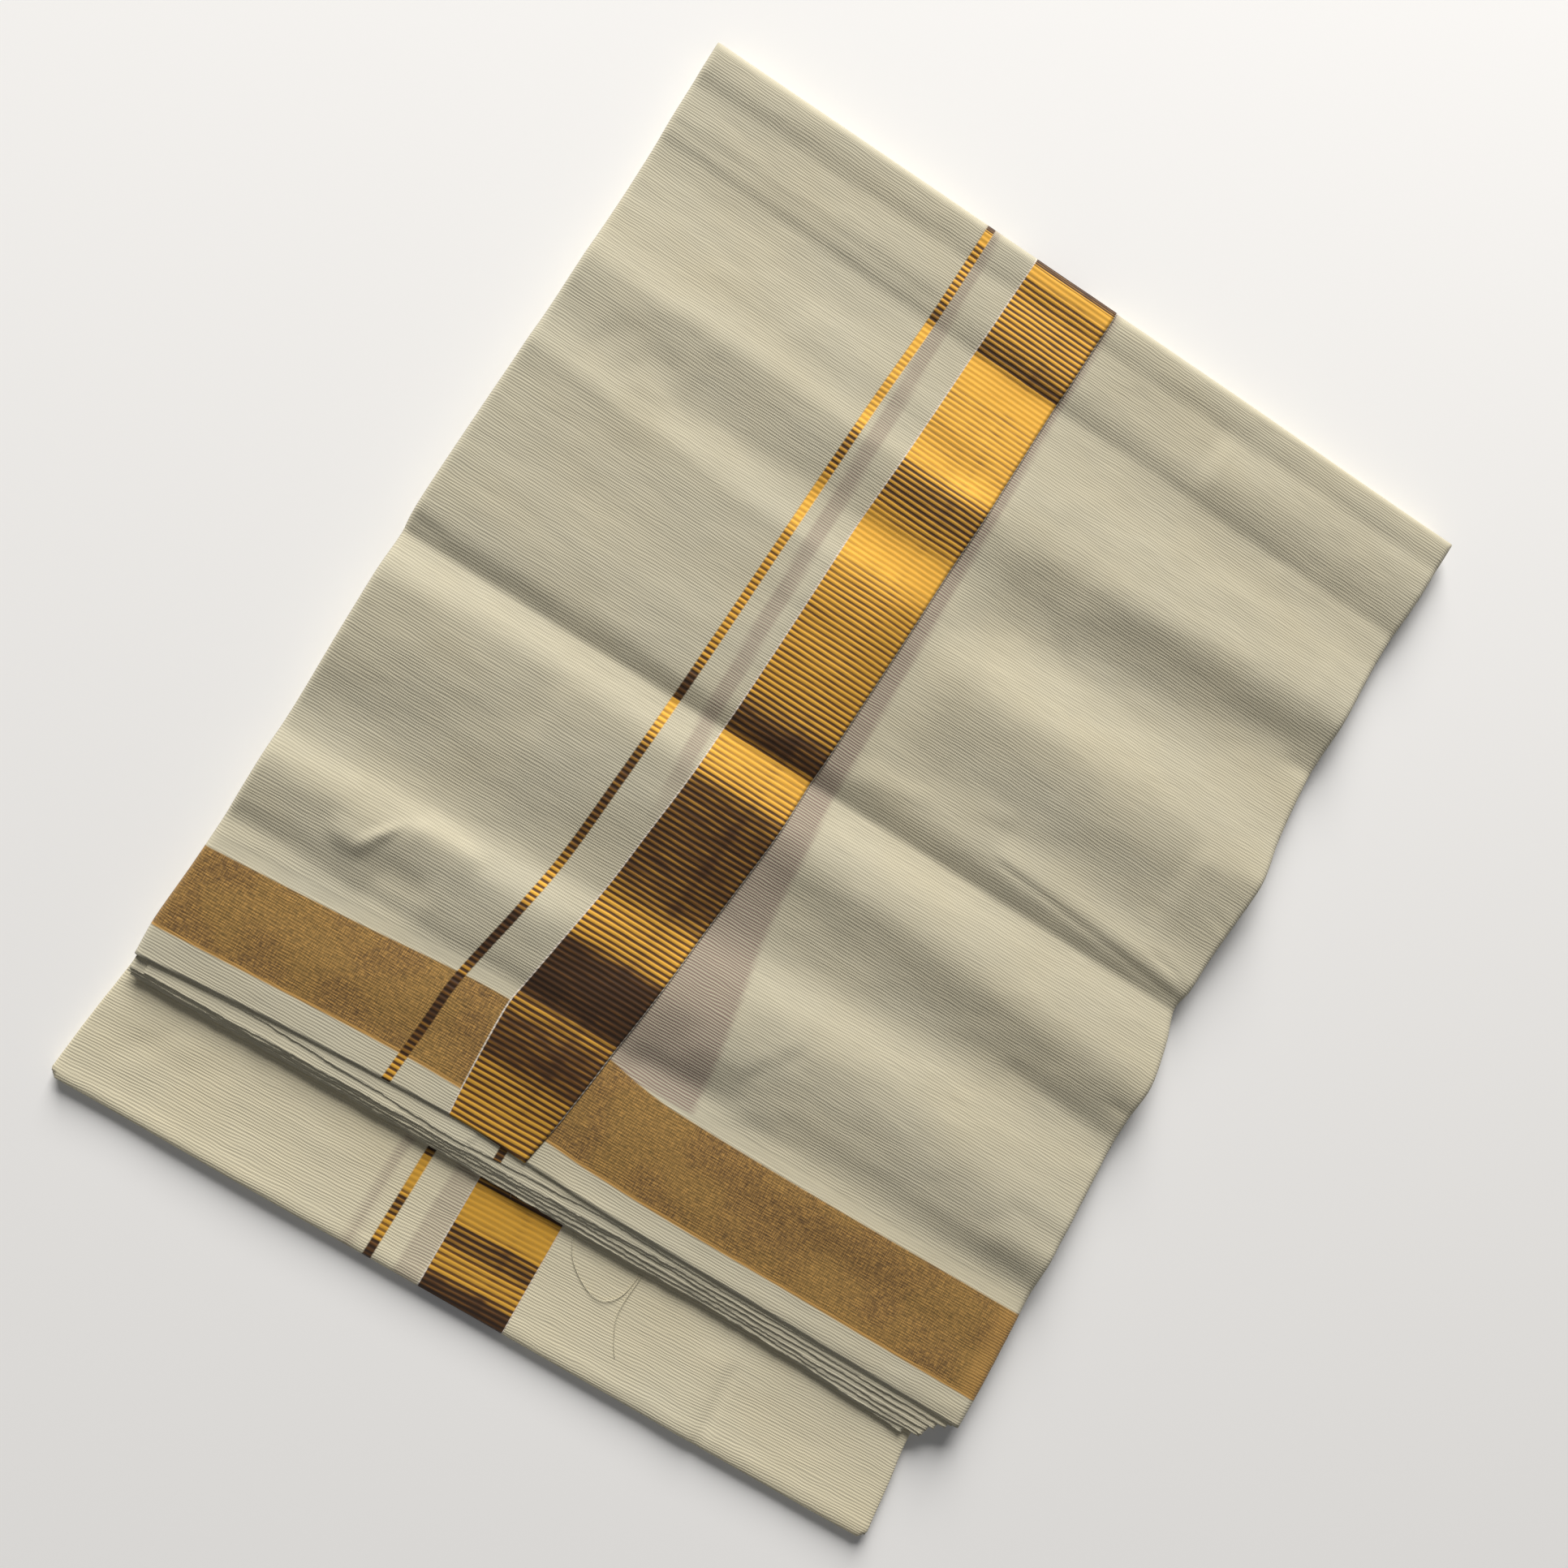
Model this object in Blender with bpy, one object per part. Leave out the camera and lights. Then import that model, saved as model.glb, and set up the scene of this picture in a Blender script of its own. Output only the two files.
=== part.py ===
"""A folded cotton dhoti, lying flat: four stretches of one long woven cloth.

The cloth is folded along its length and across it, so most of its layers are hidden. The two
stretches on top are walls. The layers under them share one rounded solid, layered at its edges,
and the lowest fold reaches out past the raw ends as a flap.

X runs across the folded cloth, Y along it towards the top fold, and Z is up. The tables are in
millimetres: x is measured from the middle of the strip, up from the line of the raw ends. The
object's own origin is under the middle of its box.
"""

import math
from collections import namedtuple

import bmesh
import bpy
from mathutils import Vector

MM = 0.001

# Driving sizes in millimetres
STRIP_LENGTH = 485.4
STACK_HEIGHT = 13.4
LOWER_HEIGHT = 5.5
WALL = 1.0
GAP = 0.3
SIDE_ROLL = 3.4
TOP_ROLL = 6.2
CORNER_POWER = 4
LAP = 26.0
FLAP_CORNER_IN = 1.6
MIDDLE_X = -2.5
MIDDLE_UP = 209.4

# Mesh steps round each rolled fold, and the angle at which an edge looks sharp
ROLL_STEPS = 3
SHARP_ANGLE = math.radians(40)

# Mesh columns in each span of the strip: up to the lap, over it, and on to the right fold
SPAN_COLUMNS = {"bordered": 8, "lap": 1, "plain": 10}
# The step in the hidden layers stands just clear of the plain stretch's covered edge
STEP_SHIFT = -0.27

# How far in from the outermost surface each surface lies
PLAIN_OUT = WALL + GAP
LEFT_CORE_OUT = WALL + GAP
RIGHT_CORE_OUT = 2 * (WALL + GAP)

# The two side folds of the upper layers, and the selvedge that ends the bordered stretch
Edge = namedtuple("Edge", "up left right")
EDGES = (
    Edge(0, -212.4, 210.5),
    Edge(20, -213.3, 210.6),
    Edge(56, -211.9, 209.6),
    Edge(90, -211.9, 210.7),
    Edge(140, -212.3, 209.2),
    Edge(162, -212.6, 210.3),
    Edge(180, -212.8, 212.0),
    Edge(200, -213.0, 207.9),
    Edge(217, -213.0, 203.3),
    Edge(226, -213.7, 205.4),
    Edge(245, -213.7, 207.2),
    Edge(289, -212.8, 211.3),
    Edge(312, -212.1, 207.9),
    Edge(345, -211.3, 205.6),
    Edge(394, -210.7, 207.3),
    Edge(425, -210.9, 207.7),
    Edge(445, -211.4, 209.8),
    Edge(485.4, -211.7, 211.9),
)
Selvedge = namedtuple("Selvedge", "up x")
SELVEDGE = (
    Selvedge(0, -24.0),
    Selvedge(60, -16.0),
    Selvedge(94, -12.0),
    Selvedge(180, -3.0),
    Selvedge(260, 1.0),
    Selvedge(380, 6.0),
    Selvedge(485.4, 10.0),
)

# The raw end of the top layer, which isn't quite square to the folds
RawEnd = namedtuple("RawEnd", "x up")
RAW_END = (
    RawEnd(-212, 5.5),
    RawEnd(-150, 9.0),
    RawEnd(-60, 11.0),
    RawEnd(-20, 8.5),
    RawEnd(40, 5.5),
    RawEnd(212, -1.0),
)

# Lines across the strip that the mesh sections follow, with the sections up to the next line
Line = namedtuple("Line", "left_up right_up sections")
LINES = (
    Line(0, 0, 4),
    Line(73, 66, 3),
    Line(105, 88, 4),
    Line(122, 142, 5),
    Line(184, 173, 2),
    Line(208, 205, 2),
    Line(218.8, 215.2, 2),
    Line(226, 222.5, 1),
    Line(234, 231, 1),
    Line(244, 242, 6),
    Line(309, 288, 2),
    Line(322, 304, 3),
    Line(336, 346, 2),
    Line(349, 362, 2),
    Line(362, 387, 1),
    Line(372, 398, 2),
    Line(396, 408, 3),
    Line(426, 423.5, 2),
    Line(434, 431, 1),
    Line(441, 438, 2),
    Line(461, 465, 1),
    Line(468, 471, 1),
    Line(479.2, 479.2, 1),
)
RAW_END_BLEND = 30.0

# Folds and soft waves of the upper layers: three points along each, how far it spreads down
# and up the strip, and its height
Fold = namedtuple("Fold", "name x0 up0 x1 up1 x2 up2 below above height")
FOLDS = (
    Fold("hollow behind the top roll", -260, 460.5, 0, 463, 260, 465.5, 22, 7, -1.4),
    Fold("second pressed crease", -260, 427, 0, 424.5, 260, 423.5, 28, 11, -2.7),
    Fold("upper left swell", -260, 363, -100, 362, 20, 362, 26, 12, 2.4),
    Fold("upper right swell", -20, 363, 70, 372, 260, 398, 18, 17, 2.6),
    Fold("upper left hollow", -260, 337, -120, 335, 20, 335, 12, 24, -1.6),
    Fold("upper right hollow", -10, 337, 70, 329, 260, 358, 25, 19, -3.3),
    Fold("left swell over the middle", -260, 311, -110, 308, 20, 303, 60, 13, 2.6),
    Fold("right swell over the middle", 0, 293, 110, 291, 260, 287, 26, 14, 3.2),
    Fold("right hollow over the middle", 20, 243, 120, 247, 215, 240, 8, 16, -0.9),
    Fold("middle crease", -260, 219, 0, 216.5, 260, 215, 11, 8, -3.0),
    Fold("left swell under the middle", -260, 178, -120, 187, 0, 180, 32, 22, 2.6),
    Fold("right swell under the middle", -30, 188, 100, 182, 260, 169, 16, 16, 3.2),
    Fold("left hollow", -260, 121, -140, 124, -20, 131, 9, 28, -2.2),
    Fold("right hollow", -40, 135, 90, 143, 260, 142, 15, 18, -3.0),
    Fold("pinched left ridge", -260, 105, -150, 107, -40, 104, 16, 13, 2.7),
    Fold("pinched right ridge", -40, 100, 70, 110, 260, 84, 20, 24, 3.0),
    Fold("hollow along the cross band", -260, 73, -40, 71, 260, 65, 12, 8, -1.9),
)
FOLD_FADE = 35.0
# The part of a fold's height that is left at the outer side of a side fold
SIDE_SWELL = 0.5

# The side of the hidden layers, from their top down: how far down, how far in at the folds and
# how far out at the raw ends, where each lower layer reaches past the one above it
Step = namedtuple("Step", "down fold_in end_out")
CORE_STEPS = (
    Step(0.07, 1.3, 0.3),
    Step(0.13, 0.5, 4.0),
    Step(0.30, 0.0, 4.3),
    Step(0.37, 0.7, 7.0),
    Step(0.54, 0.0, 7.3),
    Step(0.61, 0.7, 10.0),
    Step(0.84, 0.1, 10.3),
    Step(1.00, 0.7, 9.6),
)
LOWER_STEPS = (
    Step(0.10, 0.4, 1.1),
    Step(0.24, 0.0, 0.3),
    Step(0.35, 0.7, 0.0),
    Step(0.47, 0.0, 0.0),
    Step(0.58, 0.1, 0.1),
    Step(0.68, 0.8, 0.4),
    Step(0.82, 0.1, 1.0),
    Step(0.93, 0.2, 1.8),
    Step(1.00, 0.8, 2.8),
)
# How much the raw ends spread, at the left fold and at the right one
END_SPREAD_LEFT = 0.8
END_SPREAD_RIGHT = 1.25
LOWER_TOP_IN = 1.4
LOWER_END_IN = 2.8

# The lower fold: its side edges, and its rows up the strip
LowerEdge = namedtuple("LowerEdge", "up left right")
LOWER_EDGES = (
    LowerEdge(-66, -218.4, 199.9),
    LowerEdge(-40, -216.5, 197.2),
    LowerEdge(-18, -214.4, 194.4),
    LowerEdge(10, -212.2, 196.3),
    LowerEdge(80, -210.6, 201.5),
    LowerEdge(200, -211.4, 203.0),
    LowerEdge(340, -209.8, 201.0),
    LowerEdge(485.4, -210.2, 209.5),
)
FlapEnd = namedtuple("FlapEnd", "x up")
FLAP_END = (
    FlapEnd(-217, -57.6),
    FlapEnd(-60, -61.2),
    FlapEnd(20, -63.2),
    FlapEnd(83, -64.7),
    FlapEnd(160, -66.5),
    FlapEnd(201, -66.9),
)
LOWER_ROWS = (-60, -48, -36, -26, -16, 2, 40, 90, 150, 210, 270, 330, 390, 440, 470, 482.6)
FLAP_FIXED_UP = -16
LOWER_COLUMNS = 14
# Soft waves along the flap: where across the strip, how wide and how high
Wave = namedtuple("Wave", "x half height")
FLAP_WAVES = (
    Wave(-186, 22, -0.5),
    Wave(-110, 30, 0.3),
    Wave(-10, 40, -0.3),
    Wave(98, 12, 0.5),
    Wave(150, 26, -0.4),
)
# The waves start this far up the strip, and reach their height this much lower
FLAP_CLEAR_UP = -18.0
FLAP_CLEAR_FADE = 12.0

# Colours and roughness of the cloth
CREAM = (0.70, 0.66, 0.52, 1.0)
WARM_CREAM = (0.66, 0.60, 0.47, 1.0)
SHADED_CREAM = (0.52, 0.49, 0.39, 1.0)
BORDERED_CREAM = (0.72, 0.67, 0.50, 1.0)
COTTON_ROUGHNESS = 0.85


def clear_scene():
    for found in list(bpy.data.objects):
        bpy.data.objects.remove(found, do_unlink=True)


def smooth_step(share):
    share = min(max(share, 0.0), 1.0)
    return share * share * (3.0 - 2.0 * share)


def curve_value(places, values, at):
    """The height at one place of a smooth curve that passes through a row of points."""
    at = min(max(at, places[0]), places[-1])
    row = max(number for number in range(len(places) - 1) if places[number] <= at)
    slopes = []
    for middle in (row, row + 1):
        low = max(middle - 1, 0)
        high = min(middle + 1, len(places) - 1)
        slopes.append((values[high] - values[low]) / (places[high] - places[low]))
    run = places[row + 1] - places[row]
    rise = values[row + 1] - values[row]
    start, end = slopes[0] * run, slopes[1] * run
    part = (at - places[row]) / run
    bend = 3.0 * rise - 2.0 * start - end + part * (start + end - 2.0 * rise)
    return values[row] + part * (start + part * bend)


def read_table(rows, key, column, at):
    """The column's value at a place between two rows of a table."""
    places = [getattr(row, key) for row in rows]
    return curve_value(places, [getattr(row, column) for row in rows], at)


def fold_line(fold, x):
    """How far up the strip a fold lies at x, on a smooth line through its three points."""
    return curve_value((fold.x0, fold.x1, fold.x2), (fold.up0, fold.up1, fold.up2), x)


def fold_height(x, up):
    """The height that all the folds and waves add at one place of the upper layers."""
    total = 0.0
    for fold in FOLDS:
        ends = smooth_step((x - fold.x0) / FOLD_FADE) * smooth_step((fold.x2 - x) / FOLD_FADE)
        across = up - fold_line(fold, x)
        across /= fold.above if across > 0 else fold.below
        total += fold.height * ends * math.exp(-across * across)
    return total


def raw_end_up(x):
    return read_table(RAW_END, "x", "up", x)


def section_pairs():
    """(left, right) heights up the strip of each mesh section, from the raw end to the top roll."""
    pairs = []
    for line, after in zip(LINES, LINES[1:]):
        for step in range(line.sections):
            share = step / line.sections
            pairs.append(
                (
                    line.left_up + (after.left_up - line.left_up) * share,
                    line.right_up + (after.right_up - line.right_up) * share,
                )
            )
    pairs.append((LINES[-1].left_up, LINES[-1].right_up))
    return pairs


def place(x, up, z):
    return Vector(((x - MIDDLE_X) * MM, (up - MIDDLE_UP) * MM, z * MM))


# A column of the mesh: the span it lies in, its part of that span or its angle round a side
# fold, how far in its surface lies, and a sideways shift
Column = namedtuple("Column", "span part angle out shift")


def fold_columns(span, out):
    """Columns round a side fold, from its outer side up to level."""
    angles = [math.pi / 2 * step / ROLL_STEPS for step in range(ROLL_STEPS)]
    if span == "right fold":
        angles.reverse()
    return [Column(span, 0.0, angle, out, 0.0) for angle in angles]


def span_columns(span, out, first=0):
    """Evenly spread columns from one end of a span to the other."""
    count = SPAN_COLUMNS[span]
    return [Column(span, step / count, math.pi / 2, out, 0.0) for step in range(first, count + 1)]


def column_x(column, up):
    """Where a column lies across the strip, this far up it."""
    left = read_table(EDGES, "up", "left", up)
    right = read_table(EDGES, "up", "right", up)
    selvedge = read_table(SELVEDGE, "up", "x", up)
    if column.span == "left fold":
        return left + SIDE_ROLL - (SIDE_ROLL - column.out) * math.cos(column.angle)
    if column.span == "right fold":
        reach = SIDE_ROLL - (column.out - PLAIN_OUT)
        return right - SIDE_ROLL + reach * math.cos(column.angle)
    spans = {
        "bordered": (left + SIDE_ROLL, selvedge - LAP - GAP),
        "lap": (selvedge - LAP, selvedge),
        "plain": (selvedge, right - SIDE_ROLL),
    }
    start, end = spans[column.span]
    return start + (end - start) * column.part + column.shift


def column_drop(column):
    """How far the side fold has brought the surface down, and the part of a swell left there."""
    if column.span not in ("left fold", "right fold"):
        return 0.0, 1.0
    out = column.out if column.span == "left fold" else column.out - PLAIN_OUT
    level = math.sin(column.angle)
    return (SIDE_ROLL - out) * (1.0 - level), SIDE_SWELL + (1.0 - SIDE_SWELL) * level


def strip_share(x):
    """0 at the left fold and 1 at the right one."""
    return (x - EDGES[0].left) / (EDGES[0].right - EDGES[0].left)


def upper_point(column, pair, top_angle):
    """(x, up, z) of one place on an upper layer's surface."""
    across = strip_share(column_x(column, (pair[0] + pair[1]) / 2))
    up = pair[0] + (pair[1] - pair[0]) * across
    reach = TOP_ROLL - column.out
    top_drop = reach * (1.0 - math.sin(top_angle))
    if top_angle < math.pi / 2:
        up = STRIP_LENGTH - TOP_ROLL + reach * math.cos(top_angle)
    x = column_x(column, up)
    side_drop, swell_left = column_drop(column)
    if up < RAW_END_BLEND:
        end = raw_end_up(x)
        up = end + (RAW_END_BLEND - end) * up / RAW_END_BLEND
    swell = fold_height(x, up) * swell_left * math.sin(top_angle)
    drop = (side_drop**CORNER_POWER + top_drop**CORNER_POWER) ** (1 / CORNER_POWER)
    return x, up, STACK_HEIGHT - column.out - drop + swell


def upper_rows(columns):
    """Rows of points of an upper layer's surface, from its raw end to the side of its top roll."""
    pairs = section_pairs()
    angles = [math.pi / 2] * len(pairs)
    pairs += [pairs[-1]] * ROLL_STEPS
    angles += [math.pi / 2 * (1 - step / ROLL_STEPS) for step in range(1, ROLL_STEPS + 1)]
    return [
        [upper_point(column, pair, angle) for column in columns]
        for pair, angle in zip(pairs, angles)
    ]


def moved_in(columns, by):
    return [column._replace(out=column.out + by) for column in columns]


def add_points(mesh, rows):
    return [[mesh.verts.new(place(*point)) for point in row] for row in rows]


def fill_rows(mesh, rows):
    """Quads between neighbouring rows of vertices."""
    for row, after in zip(rows, rows[1:]):
        for step in range(len(row) - 1):
            mesh.faces.new((row[step], row[step + 1], after[step + 1], after[step]))


def rim_of(rows):
    """What lies round the edge of a grid of rows, in order, seen from above."""
    right = [row[-1] for row in rows[1:-1]]
    left = [row[0] for row in rows[1:-1]]
    return rows[0] + right + rows[-1][::-1] + left[::-1]


def bridge_rims(mesh, outer, inner):
    count = len(outer)
    for step in range(count):
        after = (step + 1) % count
        mesh.faces.new((outer[step], outer[after], inner[after], inner[step]))


def make_object(mesh, name, colour):
    """The finished mesh as a named object with its own cotton material."""
    bmesh.ops.recalc_face_normals(mesh, faces=mesh.faces)
    data = bpy.data.meshes.new(name)
    mesh.to_mesh(data)
    mesh.free()
    data.shade_smooth()
    data.set_sharp_from_angle(angle=SHARP_ANGLE)
    material = bpy.data.materials.new(name + "_cotton")
    material.use_nodes = True
    shader = material.node_tree.nodes["Principled BSDF"]
    shader.inputs["Base Color"].default_value = colour
    shader.inputs["Roughness"].default_value = COTTON_ROUGHNESS
    shader.inputs["Metallic"].default_value = 0.0
    data.materials.append(material)
    made = bpy.data.objects.new(name, data)
    bpy.context.scene.collection.objects.link(made)
    return made


def make_wall(name, columns, colour):
    """A stretch of cloth as a wall: its outer surface, the same surface moved in, and its rim."""
    mesh = bmesh.new()
    outer = add_points(mesh, upper_rows(columns))
    inner = add_points(mesh, upper_rows(moved_in(columns, WALL)))
    fill_rows(mesh, outer)
    fill_rows(mesh, inner)
    bridge_rims(mesh, rim_of(outer), rim_of(inner))
    return make_object(mesh, name, colour)


def make_bordered_stretch():
    """The bordered part of the cloth, folded back over the rest as far as its selvedge."""
    columns = (
        fold_columns("left fold", 0.0)
        + span_columns("bordered", 0.0)
        + span_columns("lap", 0.0, first=1)
    )
    return make_wall("bordered_stretch", columns, BORDERED_CREAM)


def make_plain_stretch():
    """The plain cloth that runs out from under the selvedge and round the right fold."""
    columns = (
        span_columns("lap", PLAIN_OUT)
        + span_columns("plain", PLAIN_OUT, first=1)
        + fold_columns("right fold", PLAIN_OUT)
    )
    return make_wall("plain_stretch", columns, CREAM)


def rim_sides(rows):
    """For each place round a grid's rim, which way is out: across the strip and up it."""
    last = len(rows[0]) - 1
    sides = []
    for row_number, row in enumerate(rows):
        up = -1 if row_number == 0 else 1 if row_number == len(rows) - 1 else 0
        sides.append([(-1 if step == 0 else 1 if step == last else 0, up) for step in range(last + 1)])
    return rim_of(sides)


def core_columns():
    """Columns of the hidden layers, with a step down where the plain stretch starts."""
    step = span_columns("lap", RIGHT_CORE_OUT)
    step[0] = step[0]._replace(shift=STEP_SHIFT)
    return (
        fold_columns("left fold", LEFT_CORE_OUT)
        + span_columns("bordered", LEFT_CORE_OUT)
        + step
        + span_columns("plain", RIGHT_CORE_OUT, first=1)
        + fold_columns("right fold", RIGHT_CORE_OUT)
    )


def outermost(column):
    """The same column on the cloth's outermost surface, which the hidden layers end level with."""
    return column._replace(out=PLAIN_OUT if column.out == RIGHT_CORE_OUT else 0.0, shift=0.0)


def make_hidden_layers():
    """All the layers between the top stretches and the lower fold, as one solid."""
    columns = core_columns()
    bottom = LOWER_HEIGHT + GAP
    rows = upper_rows(columns)
    skirt = upper_rows([outermost(column) for column in columns])
    sides = rim_sides(rows)
    mesh = bmesh.new()
    grid = add_points(mesh, rows)
    fill_rows(mesh, grid)
    above = rim_of(grid)
    for step in CORE_STEPS:
        ring = []
        share_in = step.fold_in / PLAIN_OUT
        for inner, outer, (_, along) in zip(rim_of(rows), rim_of(skirt), sides):
            x = outer[0] + (inner[0] - outer[0]) * share_in
            up = outer[1] + (inner[1] - outer[1]) * share_in
            if along < 0:
                spread = END_SPREAD_LEFT + (END_SPREAD_RIGHT - END_SPREAD_LEFT) * strip_share(x)
                up -= step.end_out * spread
            z = inner[2] + (bottom - inner[2]) * step.down
            ring.append(mesh.verts.new(place(x, up, z)))
        bridge_rims(mesh, above, ring)
        above = ring
    mesh.faces.new(above)
    return make_object(mesh, "hidden_layers", SHADED_CREAM)


def flap_wave(x, up):
    """How much the flap's top rises or falls, clear of the layers that rest on its upper part."""
    clear = smooth_step((FLAP_CLEAR_UP - up) / FLAP_CLEAR_FADE)
    return clear * sum(
        wave.height * math.exp(-(((x - wave.x) / wave.half) ** 2)) for wave in FLAP_WAVES
    )


def lower_rows():
    """Rows of (x, up, z) over the top of the lower fold, from the flap's end to the top fold."""
    rows = []
    for row_up in LOWER_ROWS:
        row = []
        for column in range(LOWER_COLUMNS + 1):
            share = column / LOWER_COLUMNS
            up = row_up
            for _ in range(2):
                left = read_table(LOWER_EDGES, "up", "left", up) + LOWER_TOP_IN
                right = read_table(LOWER_EDGES, "up", "right", up) - LOWER_TOP_IN
                x = left + (right - left) * share
                if row_up <= FLAP_FIXED_UP:
                    end = read_table(FLAP_END, "x", "up", x) + LOWER_END_IN
                    reach = (row_up - LOWER_ROWS[0]) / (FLAP_FIXED_UP - LOWER_ROWS[0])
                    up = end + (FLAP_FIXED_UP - end) * reach
            row.append((x, up, LOWER_HEIGHT + flap_wave(x, up)))
        rows.append(row)
    return rows


def make_under_fold():
    """The lowest fold: flat where it rests, layered at its side folds and round at its end."""
    rows = lower_rows()
    mesh = bmesh.new()
    grid = add_points(mesh, rows)
    fill_rows(mesh, grid)
    above = rim_of(grid)
    for step in LOWER_STEPS:
        ring = []
        for (x, up, z), (across, along) in zip(rim_of(rows), rim_sides(rows)):
            cut = FLAP_CORNER_IN if across and along else 0.0
            x += across * (LOWER_TOP_IN - step.fold_in - cut)
            up += along * (LOWER_END_IN - step.end_out - cut)
            ring.append(mesh.verts.new(place(x, up, z * (1.0 - step.down))))
        bridge_rims(mesh, above, ring)
        above = ring
    mesh.faces.new(above)
    return make_object(mesh, "under_fold", WARM_CREAM)


clear_scene()
make_under_fold()
make_hidden_layers()
make_plain_stretch()
make_bordered_stretch()
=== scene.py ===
import math
from collections import namedtuple

import bpy
import numpy as np
from mathutils import Matrix, Vector, noise


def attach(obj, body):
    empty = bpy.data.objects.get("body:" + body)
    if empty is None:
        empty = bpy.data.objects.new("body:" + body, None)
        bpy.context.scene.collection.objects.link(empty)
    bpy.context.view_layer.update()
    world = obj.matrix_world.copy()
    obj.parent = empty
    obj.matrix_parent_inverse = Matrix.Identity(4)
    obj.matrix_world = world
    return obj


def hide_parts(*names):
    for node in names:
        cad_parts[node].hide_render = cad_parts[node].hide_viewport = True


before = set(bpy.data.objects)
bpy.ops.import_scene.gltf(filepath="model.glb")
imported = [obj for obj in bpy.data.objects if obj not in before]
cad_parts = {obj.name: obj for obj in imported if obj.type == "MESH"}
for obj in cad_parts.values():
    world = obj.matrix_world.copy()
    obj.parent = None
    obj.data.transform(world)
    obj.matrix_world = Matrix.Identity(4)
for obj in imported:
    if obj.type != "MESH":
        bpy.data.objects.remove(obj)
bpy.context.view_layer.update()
bpy.ops.object.select_all(action="DESELECT")
print("solids:", sorted(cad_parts))

# %% [markdown]
# ## The sizes of the pack
#
# All sizes are in millimetres. `x` runs across the pack from the left fold to the right one, and
# `up` along it from the line of the raw ends to the top fold. A smooth line through a few
# points gives each edge, because a pressed fold is never quite straight. Fewer points would look
# ruled, and more would only copy the cloth's own small shakes.
# %% The sizes of the pack
MM = 0.001
MIDDLE_X = -2.5
MIDDLE_UP = 209.4
STRIP_LENGTH = 485.4
STACK_HEIGHT = 13.4
LOWER_HEIGHT = 5.5
LAYER_GAP = 0.3
SIDE_ROLL = 3.4
TOP_ROLL = 6.2
LAP = 26.0
RAW_END_BLEND = 30.0

LEFT_FOLD = (
    (0, -212.4), (20, -213.3), (56, -211.9), (90, -211.9), (140, -212.3), (162, -212.6),
    (180, -212.8), (200, -213.0), (217, -213.0), (226, -213.7), (245, -213.7), (289, -212.8),
    (312, -212.1), (345, -211.3), (394, -210.7), (425, -210.9), (445, -211.4), (485.4, -211.7),
)
RIGHT_FOLD = (
    (0, 210.8), (20, 211.0), (56, 210.2), (90, 209.7), (140, 210.2), (162, 210.1),
    (180, 211.1), (200, 208.4), (217, 204.5), (226, 205.9), (245, 207.0), (289, 209.8),
    (312, 207.9), (345, 206.8), (394, 207.6), (425, 208.9), (445, 210.3), (485.4, 212.3),
)
SELVEDGE = (
    (0, -24.0), (60, -16.0), (94, -12.0), (180, -3.0), (260, 1.0), (380, 6.0), (485.4, 10.0),
)
RAW_END = ((-212, 5.5), (-150, 9.0), (-60, 11.0), (-20, 8.5), (40, 5.5), (212, -1.0))


def smooth_line(points, at):
    """The value at a place of a smooth line through (place, value) points."""
    places, values = np.array(points, float).T
    numbers = np.arange(len(places))
    before = np.maximum(numbers - 1, 0)
    after = np.minimum(numbers + 1, len(places) - 1)
    slopes = (values[after] - values[before]) / (places[after] - places[before])
    at = np.clip(at, places[0], places[-1])
    row = np.clip(np.searchsorted(places, at, side="right") - 1, 0, len(places) - 2)
    run = places[row + 1] - places[row]
    rise = values[row + 1] - values[row]
    start, end = slopes[row] * run, slopes[row + 1] * run
    part = (at - places[row]) / run
    bend = 3 * rise - 2 * start - end + part * (start + end - 2 * rise)
    return values[row] + part * (start + part * bend)


def smooth_step(share):
    share = np.clip(share, 0.0, 1.0)
    return share * share * (3.0 - 2.0 * share)


def place(x, up, z):
    """Millimetres on the pack as metres in the object's own frame."""
    return np.stack([(x - MIDDLE_X) * MM, (up - MIDDLE_UP) * MM, z * MM], axis=-1)


widest = max(right - left for (_, left), (_, right) in zip(LEFT_FOLD, RIGHT_FOLD))
print(f"the pack is {widest:.0f} mm wide and {STRIP_LENGTH:.0f} mm long")

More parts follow.
